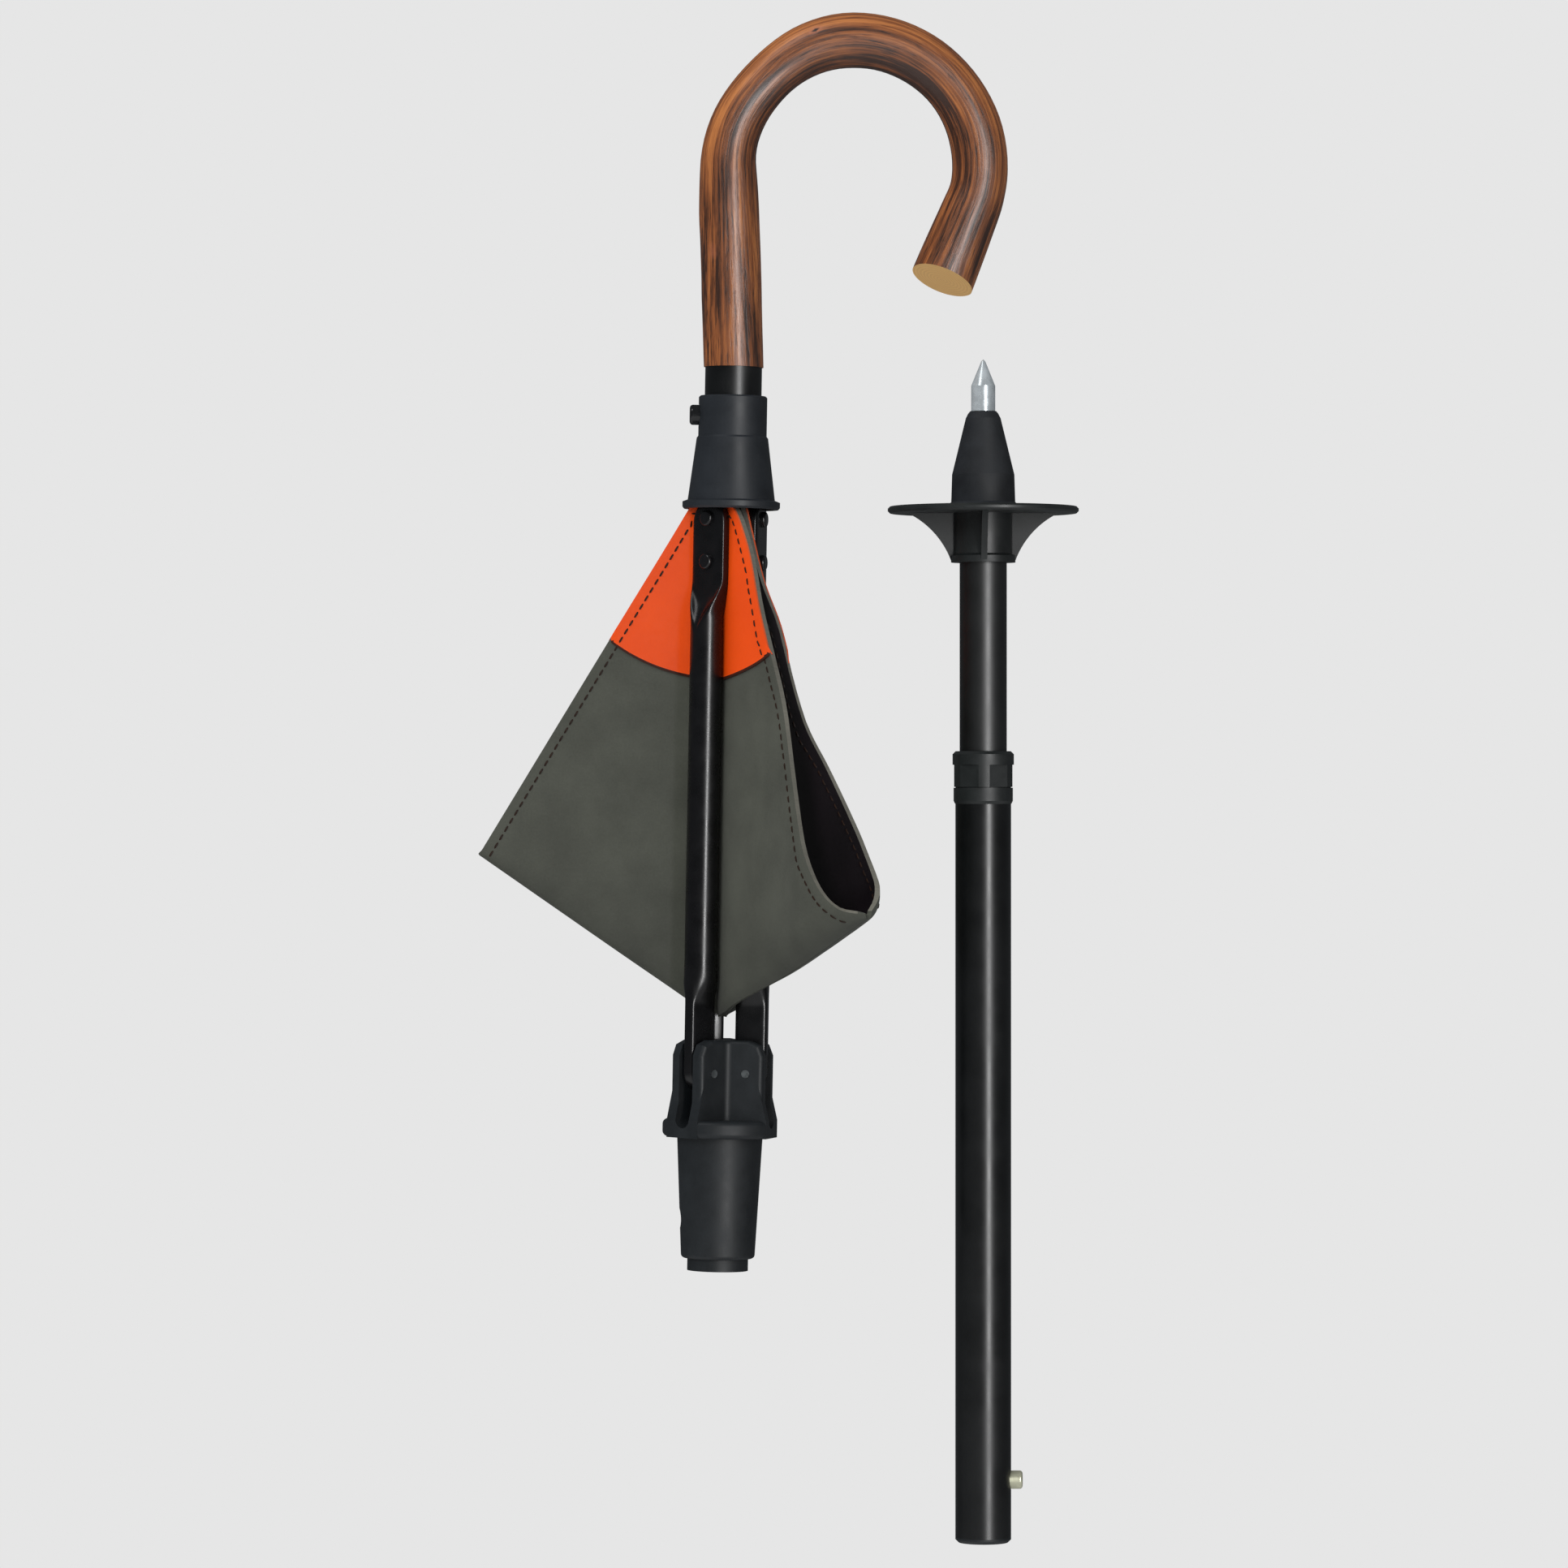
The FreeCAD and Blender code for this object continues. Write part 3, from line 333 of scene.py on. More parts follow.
def shader_group(name, inputs, outputs):
    """A group that takes a vector and the inputs, with its tree, the sockets that come in and its exit."""
    group = bpy.data.node_groups.new(name, "ShaderNodeTree")
    group.interface.new_socket("Vector", in_out="INPUT", socket_type="NodeSocketVector")
    for label, value in inputs.items():
        kind = "NodeSocketFloat" if isinstance(value, float) else "NodeSocketColor"
        group.interface.new_socket(label, in_out="INPUT", socket_type=kind).default_value = value
    for label, kind in outputs.items():
        group.interface.new_socket(label, in_out="OUTPUT", socket_type="NodeSocket" + kind)
    tree = Tree(group)
    return group, tree, tree.add("NodeGroupInput").outputs, tree.add("NodeGroupOutput")


def make_mottle():
    """Cloudy change between two close colours, with finer specks in it."""
    group, tree, entry, leave = shader_group("cloudy_mottle", {
        "Dark": BLACK, "Light": WHITE, "Scale": 60.0, "Speck Scale": 900.0, "Speck": 0.3,
    }, {"Color": "Color", "Mask": "Float"})
    cloud = tree.noise(entry["Vector"], entry["Scale"], 4)
    speck = tree.noise(entry["Vector"], entry["Speck Scale"], 2)
    fine = tree.math("MULTIPLY", tree.math("SUBTRACT", speck, 0.5), entry["Speck"])
    mask = tree.math("ADD", tree.range(cloud, 0.32, 0.68), fine, clamp=True)
    tree.fill(leave, {"Color": tree.mix(mask, entry["Dark"], entry["Light"]), "Mask": mask})
    return group


def make_surface_grain():
    """Fine moulded or sprayed texture as a normal."""
    group, tree, entry, leave = shader_group(
        "fine_surface_grain", {"Scale": 1500.0, "Strength": 0.2, "Depth": 0.0001},
        {"Normal": "Vector", "Height": "Float"})
    grain = tree.noise(entry["Vector"], entry["Scale"], 3)
    tree.fill(leave, {"Normal": tree.bump(grain, entry["Strength"], entry["Depth"]), "Height": grain})
    return group


def make_weave():
    """Plain canvas weave from the cloth's own UV map, given in metres."""
    group, tree, entry, leave = shader_group(
        "canvas_weave", {"Threads": 1400.0}, {"Height": "Float", "Slub": "Float"})
    threads = [tree.add("ShaderNodeTexWave", {
        "Vector": entry["Vector"], "Scale": entry["Threads"], "Distortion": 0.8, "Detail": 1,
    }, bands_direction=axis).outputs["Fac"] for axis in ("X", "Y")]
    slub = tree.noise(entry["Vector"], 420, 3)
    uneven = tree.math("MULTIPLY", slub, 0.8)
    tree.fill(leave, {"Height": tree.math("ADD", tree.math("MAXIMUM", *threads), uneven), "Slub": slub})
    return group


# The wood's streaks: scale across and along the grain, detail, roughness, and the noise that gives 0 and 1.
STREAKS = {
    "broad": (170, 8, 3, 0.6, 0.34, 0.66),
    "thin": (900, 22, 4, 0.65, 0.40, 0.62),
    "pores": (2400, 150, 2, 0.5, 0.55, 0.70),
    "blotch": (90, 30, 2, 0.5, 0.4, 0.66),
}
STREAK_WEIGHT = {"broad": 0.56, "thin": 0.52, "pores": 0.26, "blotch": 0.24}
EVEN_BURN = 0.06
MIDDLE_TONE = 0.42
LIGHT_TONE = 0.95


def make_streaks():
    """Long flamed streaks of bent hardwood along the stick's own path."""
    group, tree, entry, leave = shader_group(
        "flamed_streaks", {"Light": WHITE, "Middle": WHITE, "Dark": BLACK, "Scorch And Shade": 0.0},
        {"Color": "Color", "Height": "Float", "Mask": "Float"})
    streak, weighed = {}, {}
    for name, (across, along, detail, rough, low, high) in STREAKS.items():
        place = tree.add("ShaderNodeMapping", {"Vector": entry["Vector"], "Scale": (across, across, along)})
        streak[name] = tree.range(tree.noise(place.outputs["Vector"], 1, detail, rough), low, high)
        weighed[name] = tree.math("MULTIPLY", streak[name], STREAK_WEIGHT[name])
    lit = tree.math("ADD", weighed["broad"], weighed["thin"])
    # The scorch input adds real scorching and painted shade to the burn: darker on the inner side of the
    # bend, lighter on its outer top.
    burn_and_shade = tree.math("ADD", weighed["blotch"], entry["Scorch And Shade"])
    burn_and_shade = tree.math("ADD", tree.math("ADD", burn_and_shade, weighed["pores"]), EVEN_BURN)
    tone = tree.math("SUBTRACT", lit, burn_and_shade, clamp=True)
    deep = tree.mix(tree.range(tone, 0.0, MIDDLE_TONE), entry["Dark"], entry["Middle"])
    tree.fill(leave, {
        "Color": tree.mix(tree.range(tone, MIDDLE_TONE, LIGHT_TONE), deep, entry["Light"]),
        "Height": tree.math("SUBTRACT", streak["thin"], streak["pores"]), "Mask": tone})
    return group


GROUPS = {}


def group_node(tree, maker, values):
    """The outputs of a shared group's node. The group is made when it is first used."""
    if maker not in GROUPS:
        GROUPS[maker] = maker()
    return tree.fill(tree.add("ShaderNodeGroup", node_tree=GROUPS[maker]), values).outputs


# Materials


def blank(name):
    """A new material with its tree and its shader."""
    material = bpy.data.materials.new(name)
    material.use_nodes = True
    tree = Tree(material.node_tree)
    return material, tree, tree.nodes["Principled BSDF"]


def dimmed(colour, share):
    return tuple(min(1, part * share) for part in colour[:3]) + (1,)


def shades(colour, spread):
    """The two colours that a mottle runs between."""
    return {"Dark": dimmed(colour, 1 - spread), "Light": dimmed(colour, 1 + spread)}


def worked_surface(name, colour, spread, rough, metallic=0.0, specular=0.5, cloud=70.0,
                   grain=(1500.0, 0.15, 0.00008), speck=0.35):
    """Metal, paint, plastic or rubber: mottled colour, uneven gloss and a fine texture."""
    material, tree, shader = blank(name)
    place = tree.add("ShaderNodeTexCoord").outputs["Object"]
    mottle = group_node(tree, make_mottle, {
        "Vector": place, "Scale": cloud, "Speck": speck, **shades(colour, spread)})
    scale, strength, depth = grain
    texture = group_node(tree, make_surface_grain, {
        "Vector": place, "Scale": scale, "Strength": strength, "Depth": depth})
    tree.fill(shader, {
        "Base Color": mottle["Color"], "Roughness": tree.range(mottle["Mask"], 0, 1, *rough),
        "Normal": texture["Normal"], "Metallic": metallic, "Specular IOR Level": specular})
    return material


def wood_finish(crook):
    """Flamed and varnished wood with two knots."""
    material, tree, shader = blank("varnished_wood")
    streaks = group_node(tree, make_streaks, {
        "Vector": tree.attribute("grain_place")["Vector"], "Scorch And Shade": tree.attribute("scorch_and_shade")["Fac"],
        "Light": crook.light_wood, "Middle": crook.mid_wood, "Dark": crook.dark_wood})
    knot = tree.attribute("knot")["Fac"]
    ringed = tree.mix(tree.range(knot, 0.08, 0.4, 0, 0.5), streaks["Color"], srgb(188, 110, 76))
    tree.fill(shader, {
        "Base Color": tree.mix(tree.range(knot, 0.45, 0.75), ringed, srgb(36, 14, 10)),
        "Roughness": tree.range(streaks["Mask"], 0, 1, 0.46, 0.34),
        "Normal": tree.bump(streaks["Height"], 0.25, 0.0003), "Coat Weight": 0.4, "Coat Roughness": 0.30})
    return material


def sawn_finish(crook):
    """Pale end grain with faint growth rings."""
    material, tree, shader = blank("sawn_wood_end")
    rings = tree.add("ShaderNodeTexWave", {
        "Vector": tree.attribute("grain_place")["Vector"], "Scale": 260, "Distortion": 1.6,
    }, wave_type="RINGS", rings_direction="Z").outputs["Fac"]
    tree.fill(shader, {
        "Base Color": tree.mix(tree.range(rings, 0, 1, 0.0, 0.35), crook.cut_wood, srgb(222, 168, 104)),
        "Roughness": 0.6, "Normal": tree.bump(rings, 0.15, 0.0002)})
    return material


def cloth_finish(name, colour, spread, rough, weave_depth, seam_shade=False, sheen=0.0):
    """Canvas with its weave and soft mottling, and darker along its seam where that is asked for."""
    material, tree, shader = blank(name)
    place = tree.add("ShaderNodeUVMap", uv_map="cloth").outputs["UV"]
    weave = group_node(tree, make_weave, {"Vector": place})
    tint = group_node(tree, make_mottle, {
        "Vector": place, "Scale": 45, "Speck Scale": 1100, "Speck": 0.9, **shades(colour, spread)})["Color"]
    if seam_shade:
        tint = tree.mix(tree.attribute("seam_shade")["Fac"], tint, dimmed(colour, 0.3))
    tree.fill(shader, {
        "Base Color": tint, "Normal": tree.bump(weave["Height"], 0.35, weave_depth),
        "Roughness": tree.range(weave["Slub"], 0.3, 0.7, rough - 0.06, rough + 0.06),
        "Sheen Weight": sheen, "Specular IOR Level": 0.3})
    return material


# Crook

# Lengths in mm, (x, z) places in the crook's plane.
CROOK_LOW = 356.0
CROOK_RISE = (-3.6, 433.8)
CROOK_RADIUS = 49.7
NOSE_RADIUS = 40.0
NOSE_TURN = math.radians(21.0)
NOSE_LENGTH = 32.0
STEM_LENGTH = math.hypot(CROOK_RISE[0], CROOK_RISE[1] - CROOK_LOW)
STEM_WAY = (CROOK_RISE[0] / STEM_LENGTH, (CROOK_RISE[1] - CROOK_LOW) / STEM_LENGTH)
ARCH_CENTRE = (CROOK_RISE[0] + STEM_WAY[1] * CROOK_RADIUS, CROOK_RISE[1] - STEM_WAY[0] * CROOK_RADIUS)
STEM_LEAN = math.atan2(-STEM_WAY[0], STEM_WAY[1])
ARCH_TURN = math.pi + STEM_LEAN
NOSE_CENTRE = (ARCH_CENTRE[0] + CROOK_RADIUS - NOSE_RADIUS, ARCH_CENTRE[1])
NOSE_START = STEM_LENGTH + CROOK_RADIUS * ARCH_TURN
NOSE_CORNER = (NOSE_CENTRE[0] + NOSE_RADIUS * math.cos(NOSE_TURN),
               NOSE_CENTRE[1] - NOSE_RADIUS * math.sin(NOSE_TURN))
NOSE_WAY = (-math.sin(NOSE_TURN), -math.cos(NOSE_TURN))
CROOK_END = NOSE_START + NOSE_RADIUS * NOSE_TURN + NOSE_LENGTH
END_TURN = math.radians(17.6)
SHOULDER_TURN = math.radians(42.0)
SHOULDER_PULL = 1.3
SHOULDER_SPREAD = 0.42
# Each knot: x, z and width in mm.
KNOTS = ((-9.2, 401.2, 1.9), (29.3, 489.4, 1.5))
KNOT_SQUASH = 1.25
KNOT_SWELLING = 0.030
KNOT_DENT = 0.075
# The wood's unevenness: noise steps round, across and along it, shift along, and share of the girth.
WOBBLES = ((1.3, 9, 26, 0, 0.020), (2.6, 5, 11, 7, 0.008))
# Where the arch's scorching and its painted shade and light start and end along the path, each with its
# fade, in mm.
SCORCH_AND_SHADE_START = (70, 30)
SCORCH_AND_SHADE_END = (258, 40)


def in_plane(pair, scale=1.0):
    """An (x, z) pair as a vector."""
    return Vector((pair[0] * scale, 0, pair[1] * scale))


def crook_place(x, z):
    """Path length and centre (x, z) of the crook's line nearest to a point, in mm."""
    if z <= ARCH_CENTRE[1] and x < ARCH_CENTRE[0]:
        along = x * STEM_WAY[0] + (z - CROOK_LOW) * STEM_WAY[1]
        if along <= STEM_LENGTH:
            return along, (STEM_WAY[0] * along, CROOK_LOW + STEM_WAY[1] * along)
    dx, dz = x - NOSE_CORNER[0], z - NOSE_CORNER[1]
    along = dx * NOSE_WAY[0] + dz * NOSE_WAY[1]
    if along >= 0 and x > ARCH_CENTRE[0] and z < ARCH_CENTRE[1]:
        start = NOSE_START + NOSE_RADIUS * NOSE_TURN
        return start + along, (NOSE_CORNER[0] + NOSE_WAY[0] * along, NOSE_CORNER[1] + NOSE_WAY[1] * along)
    if x > ARCH_CENTRE[0] and z < ARCH_CENTRE[1]:
        turn = math.atan2(NOSE_CENTRE[1] - z, x - NOSE_CENTRE[0])
        return NOSE_START + NOSE_RADIUS * turn, (NOSE_CENTRE[0] + NOSE_RADIUS * math.cos(turn),
                                                 NOSE_CENTRE[1] - NOSE_RADIUS * math.sin(turn))
    turn = math.atan2(z - ARCH_CENTRE[1], ARCH_CENTRE[0] - x)
    return STEM_LENGTH + CROOK_RADIUS * (turn + STEM_LEAN), (
        ARCH_CENTRE[0] - CROOK_RADIUS * math.cos(turn), ARCH_CENTRE[1] + CROOK_RADIUS * math.sin(turn))


CIRCLE_SIDES = 56
ARCH_STEPS = 46
BEND_STEPS = 8
NOSE_STEPS = 9
STEM_STEPS = 23
CUT_INSETS = (0.0007, 0.0035, 0.0035)
# The wood's girth: places along the path in mm, and the share of each size that it has there.
GIRTH = {
    "base": ((0, 0.985), (30, 0.99), (58, 0.99), (68, 0.97), (78, 0.935), (90, 0.885)),
    "arch": ((119, 0.90), (140, 0.96), (158, 1), (200, 0.98), (232, 1), (243, 1)),
    "nose": ((254, 0.93), (272, 0.98), (CROOK_END, 1)),
}
CUT_LENGTH = 14
CUT_ZONE = 9
FLAT_BASE = 0.6
BASE_ZONE = 3.0


class STICK_OT_crook(bpy.types.Operator):
    """Bend the wooden crook from a circle, then shape it, scorch it with painted shade and light on its
    bend, and saw it
    """
    bl_idname = "stick.crook"
    bl_label = "Wooden crook"

    def execute(self, context):
        settings = context.scene.stick_crook
        deselect()
        bpy.ops.mesh.primitive_circle_add(
            vertices=CIRCLE_SIDES, radius=settings.base_diameter / 2, rotation=(0, -STEM_LEAN, 0),
            location=in_plane(CROOK_RISE, MM))
        crook = context.object
        crook.name = crook.data.name = "crook_wood"
        settle(crook)
        edit(crook)
        for steps, turn, centre in (
                (ARCH_STEPS, ARCH_TURN, ARCH_CENTRE), (BEND_STEPS, NOSE_TURN, NOSE_CENTRE)):
            bpy.ops.mesh.spin(steps=steps, angle=-turn, axis=(0, 1, 0), center=in_plane(centre, MM))
        self.extend(NOSE_WAY, NOSE_LENGTH, NOSE_STEPS)
        bpy.ops.mesh.edge_face_add()
        for inset in CUT_INSETS:
            bpy.ops.mesh.inset(thickness=inset, depth=0)
        rise, lean = in_plane(CROOK_RISE, MM), in_plane(STEM_WAY)
        pick(crook, lambda v: abs((v.co - rise).dot(lean)) < 0.0002 and v.co.x < 0.02)
        self.extend(STEM_WAY, -STEM_LENGTH, STEM_STEPS)
        bpy.ops.mesh.edge_face_add()
        clean_up(0.00002)
        self.shape(crook, settings)
        smooth(crook, 38)
        dress(crook, wood_finish(settings), sawn_finish(settings))
        tip = in_plane(NOSE_WAY)
        length = crook.data.attributes["path_length"].data
        for face in crook.data.polygons:
            far = max(length[v].value for v in face.vertices) / MM
            if face.normal.dot(tip) > 0.85 and far > CROOK_END - CUT_ZONE:
                face.material_index = 1
        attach(crook, "handle")
        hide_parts("handle_crook")
        return {"FINISHED"}

    def extend(self, way, length, count):
        """Draw the selected ring out along a line, in even steps."""
        step = in_plane(way, length / count * MM)
        for _ in range(count):
            bpy.ops.mesh.extrude_region_move(TRANSFORM_OT_translate={"value": step})

    def shape(self, crook, settings):
        """Give the even tube its uneven thickness, knots and slanting saw cut."""
        mesh = crook.data
        mesh.attributes.new("grain_place", "FLOAT_VECTOR", "POINT")
        for label in ("path_length", "scorch_and_shade", "knot"):
            mesh.attributes.new(label, "FLOAT", "POINT")
        grain, length, scorch_and_shade, knot = (
            mesh.attributes[label].data for label in ("grain_place", "path_length", "scorch_and_shade", "knot"))
        girth = [(along, half(getattr(settings, size + "_diameter")) * share)
                 for size, pairs in GIRTH.items() for along, share in pairs]
        for index, vertex in enumerate(mesh.vertices):
            x, y, z = (c / MM for c in vertex.co)
            along, centre = crook_place(x, z)
            middle = in_plane(centre)
            out = Vector((x, y, z)) - middle
            toward = (in_plane(ARCH_CENTRE) - middle).normalized()
            inner = out.dot(toward) / max(out.length, 0.001)
            wobble = sum(noise.noise(Vector((inner * turns, y / wide, along / long + shift))) * share
                         for turns, wide, long, shift, share in WOBBLES)
            scale = smooth_table(girth, along) / half(settings.base_diameter)
            out *= scale * (1 + wobble * ease((along - 6) / 20))
            dent = 0.0
            if y < 0:
                dent = max(math.exp(-((math.hypot(x - knot_x, (z - knot_z) * KNOT_SQUASH) / wide) ** 2))
                           for knot_x, knot_z, wide in KNOTS)
            swelling = KNOT_SWELLING * math.exp(-((1 - dent) * 3.0) ** 2) * (dent > 0.02)
            out *= 1 + swelling - KNOT_DENT * dent ** 3
            turn = (along - STEM_LENGTH) / CROOK_RADIUS - STEM_LEAN
            pull = SHOULDER_PULL * math.exp(-(((turn - SHOULDER_TURN) / SHOULDER_SPREAD) ** 2))
            place = middle + out + toward * pull
            if along > CROOK_END - CUT_LENGTH:
                slip = y * math.tan(END_TURN) * ease((along - CROOK_END + CUT_LENGTH) / CUT_LENGTH)
                place += in_plane(NOSE_WAY) * slip
            if along < BASE_ZONE:
                place.z = CROOK_LOW if along < FLAT_BASE else max(place.z, CROOK_LOW)
            vertex.co = place * MM
            grain[index].vector = (out.dot(toward) * MM, y * MM, along * MM)
            length[index].value = along * MM
            knot[index].value = dent
            # Scorch mask: the inner side of the bend is darker from real scorching and from painted shade of
            # light from above; the arch's outer top is lighter, a painted light.
            in_arch = ease((along - SCORCH_AND_SHADE_START[0]) / SCORCH_AND_SHADE_START[1])
            in_arch *= ease((SCORCH_AND_SHADE_END[0] - along) / SCORCH_AND_SHADE_END[1])
            darker = ease((inner - 0.35) / 0.6) * (0.10 + 0.26 * in_arch)
            scorch_and_shade[index].value = darker - ease((-inner - 0.1) / 0.6) * 0.20 * in_arch
        mesh.update()


# Arms

# Heights, reaches and lengths in mm.
ARM_AZIMUTH = {"right": -15.0, "back": 105.0, "front": 225.0}
PIN_HEIGHT = 78.0
PIN_REACH = 12.3
PLATE_REACH = 10.7
ARM_TOP = 303.0
BLADE_TOP = 104.0
TUBE_FOOT = 121.0
CREASE_FOOT = 250.0
CREASE_LENGTH = 15.0
CREASE_DEPTH = 8.0
RING_SIDES = 48
ROUND_STEPS = 8
SOFTENING = 5.0


class STICK_OT_arms(bpy.types.Operator):
    """Press the three arms out of round tube: a blade at the foot, a plate with a V crease at the top"""
    bl_idname = "stick.arms"
    bl_label = "Pressed arms"

    def execute(self, context):
        settings = context.scene.stick_arms
        paint = worked_surface("black_arm_paint", srgb(13, 13, 15), 0.25, (0.24, 0.32), specular=0.45,
                               cloud=120, grain=(1800.0, 0.05, 0.00005))
        for name, azimuth in ARM_AZIMUTH.items():
            arm = self.tube(name, *compass(azimuth), settings)
            dress(arm, paint)
            smooth(arm, 75)
            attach(arm, "arm_" + name)
            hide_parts("arm_" + name)
        return {"FINISHED"}

    def tube(self, name, out, side, settings):
        """Rings of a squashed tube, stacked from the rounded foot to the rounded tip."""
        foot, tip = half(settings.blade_width), half(settings.plate_width)
        quarter = evenly(0, math.pi / 2, ROUND_STEPS)
        heights = [PIN_HEIGHT - foot * math.cos(turn) for turn in quarter[:-1]]
        heights += evenly(PIN_HEIGHT, BLADE_TOP - PIN_HEIGHT, 4)
        heights += evenly(BLADE_TOP, TUBE_FOOT - BLADE_TOP, 10)[1:]
        heights += evenly(TUBE_FOOT, CREASE_FOOT - TUBE_FOOT, 10)[1:]
        heights += evenly(CREASE_FOOT, CREASE_LENGTH + CREASE_DEPTH + 2, 26)[1:]
        heights += [280, 290]
        heights += [ARM_TOP - tip + tip * math.sin(turn) for turn in quarter]
        points = []
        for z in heights:
            for step in range(RING_SIDES):
                across, along = self.ring_point(z, step * 2 * math.pi / RING_SIDES, foot, tip, settings)
                points.append((out * along + side * across + Vector((0, 0, z))) * MM)
        faces = [tuple(reversed(range(RING_SIDES)))]
        last = (len(heights) - 1) * RING_SIDES
        for ring in range(0, last, RING_SIDES):
            for step in range(RING_SIDES):
                a, b = ring + step, ring + (step + 1) % RING_SIDES
                faces.append((a, b, b + RING_SIDES, a + RING_SIDES))
        faces.append(tuple(last + step for step in range(RING_SIDES)))
        arm = mesh_piece("arm_tube_" + name, points, faces)
        edit(arm)
        clean_up(0.00001)
        return arm

    def ring_point(self, z, turn, foot, tip, settings):
        """Tangential and radial place on the ring at a height, in mm."""
        cosine, sine = math.cos(turn), math.sin(turn)
        pipe = half(settings.tube_diameter)
        lag = SOFTENING * (1 - abs(cosine))
        round_off = 1 - ease((z - BLADE_TOP - lag) / (TUBE_FOOT - BLADE_TOP - SOFTENING))
        flat = ease((z - CREASE_FOOT - CREASE_DEPTH * abs(cosine) ** 0.8) / CREASE_LENGTH)
        wide = pipe + (half(settings.blade_thickness) - pipe) * round_off + (tip - pipe) * flat
        deep = pipe + (foot - pipe) * round_off + (half(settings.plate_thickness) - pipe) * flat
        if z < PIN_HEIGHT:
            deep *= max(0.12, math.sqrt(max(0, 1 - ((PIN_HEIGHT - z) / foot) ** 2)))
        if z > ARM_TOP - tip:
            wide *= max(0.10, math.sqrt(max(0, 1 - ((z - ARM_TOP + tip) / tip) ** 2)))
        power = 2 / (2 + 3.0 * round_off + 4.0 * flat)
        across = wide * math.copysign(abs(cosine) ** power, cosine)
        along = deep * math.copysign(abs(sine) ** power, sine)
        return across, along + PIN_REACH + (PLATE_REACH - PIN_REACH) * flat


# Seat cloth

# Lengths in mm. Those of the shade, the swing and the nudge are shares of the cloth's height or width.
SEAT_LOW = 100.0
FOLD_NECK = 3.1
# Width of the dark band of painted shadow along a patch's lower seam.
SEAM_SHADOW_LINE = 1.0
SEAM_MIDDLE = 20
SEAM_RISE = 2.0
SHADE_DEPTH = 0.30
SHADE_REACH = 0.16
PATCH_THICKNESS = 0.8
# A patch's middle and its outer face above the cloth's outer face.
PATCH_LIFT = 0.42
PATCH_COVER = 0.82
PATCH_ROWS = 18
STITCH_PITCH = 3.7
STITCH_SIDES = 6
# Each ring of a stitch: place along it, rise out of the cloth and half width.
STITCH_RINGS = ((-1.45, -0.15, 0.22), (-0.8, 0.16, 0.36), (0.8, 0.16, 0.36), (1.45, -0.15, 0.22))
TRACK_STEPS = 360
NUDGE = 0.004
CUT_EDGE = 2
SIDES = ("behind", "ahead")
FOLD_SWING = 0.25
TOP_INSIDE = 302.0
SPINE = ((100, 0.9), (108, 2.2), (122, 3.9), (250, 4.0), (266, 6.4), (303, 6.5))
# Each fold: azimuth at the hub and at its corner, reach, corner height and whether its rims run straight.
# Then half the gap between its layers, by share of the reach, and the heights of its two rims, by reach.
FOLDS = {
    "left": {
        "root": 164.0, "end": 172.0, "reach": 97.8, "corner": 162.5, "straight": True,
        "gap": ((0, 1.6), (0.2, 1.9), (0.5, 1.5), (1, 1.15)),
        "ahead": ((15.2, 302), (97.8, 162.5)),
        "behind": ((15.2, 302), (97.8, 162.5))},
    "right": {
        "root": -79.0, "end": -52.5, "reach": 91.2, "corner": 142.0, "straight": False,
        "gap": ((0, 1.6), (0.12, 1.9), (0.3, 3.6), (0.5, 6.6), (0.7, 8.8), (0.86, 9.3), (0.94, 8.4),
                (0.972, 6.8), (0.99, 4.4), (1, 1.2)),
        "ahead": ((12, 302), (16.5, 298), (24, 284), (31, 259), (38, 241), (46, 222), (54, 193), (62, 168),
                  (68, 158), (74, 151.5), (80, 147.2), (85, 144.3), (91.2, 143.2)),
        "behind": ((12, 301), (16.5, 291), (24, 270), (31, 254), (38, 230), (44, 214.6), (54, 200),
                   (62, 188.6), (74, 172), (80, 163), (85, 156.5), (88.6, 151.5), (90.3, 147.5),
                   (91.2, 144))},
    "back": {
        "root": 55.0, "end": 64.0, "reach": 95.0, "corner": 148.0, "straight": False,
        "gap": ((0, 1.6), (0.12, 1.9), (0.3, 3.2), (0.5, 6.0), (0.7, 8.2), (0.86, 8.6), (0.94, 7.8),
                (0.972, 6.2), (0.99, 4.0), (1, 1.2)),
        "ahead": ((12, 301), (16.5, 286), (24, 256), (31, 236), (38, 219), (46, 207), (58, 193), (74, 174),
                  (86, 160), (92, 153), (95, 149.2)),
        "behind": ((12, 301), (16.5, 290), (24, 270), (31, 250), (38, 230), (46, 216), (58, 199), (74, 175),
                   (86, 161), (92, 154), (95, 149.4))},
}
# Each kite's two folds. On its first fold it is the layer behind, at the larger azimuth.
KITES = {"front": ("left", "right"), "right": ("right", "back"), "back": ("back", "left")}


def fold_of(kite, side):
    return KITES[kite][0 if side == "behind" else 1]


def fold_radius(fold, share):
    return FOLD_NECK + (FOLDS[fold]["reach"] - FOLD_NECK) * share


def seam_height(fold, share):
    return SEAT_LOW + (FOLDS[fold]["corner"] - SEAT_LOW) * share


def rim_height(fold, side, share):
    curve = follow if FOLDS[fold]["straight"] else smooth_table
    return curve(FOLDS[fold][side], fold_radius(fold, share))


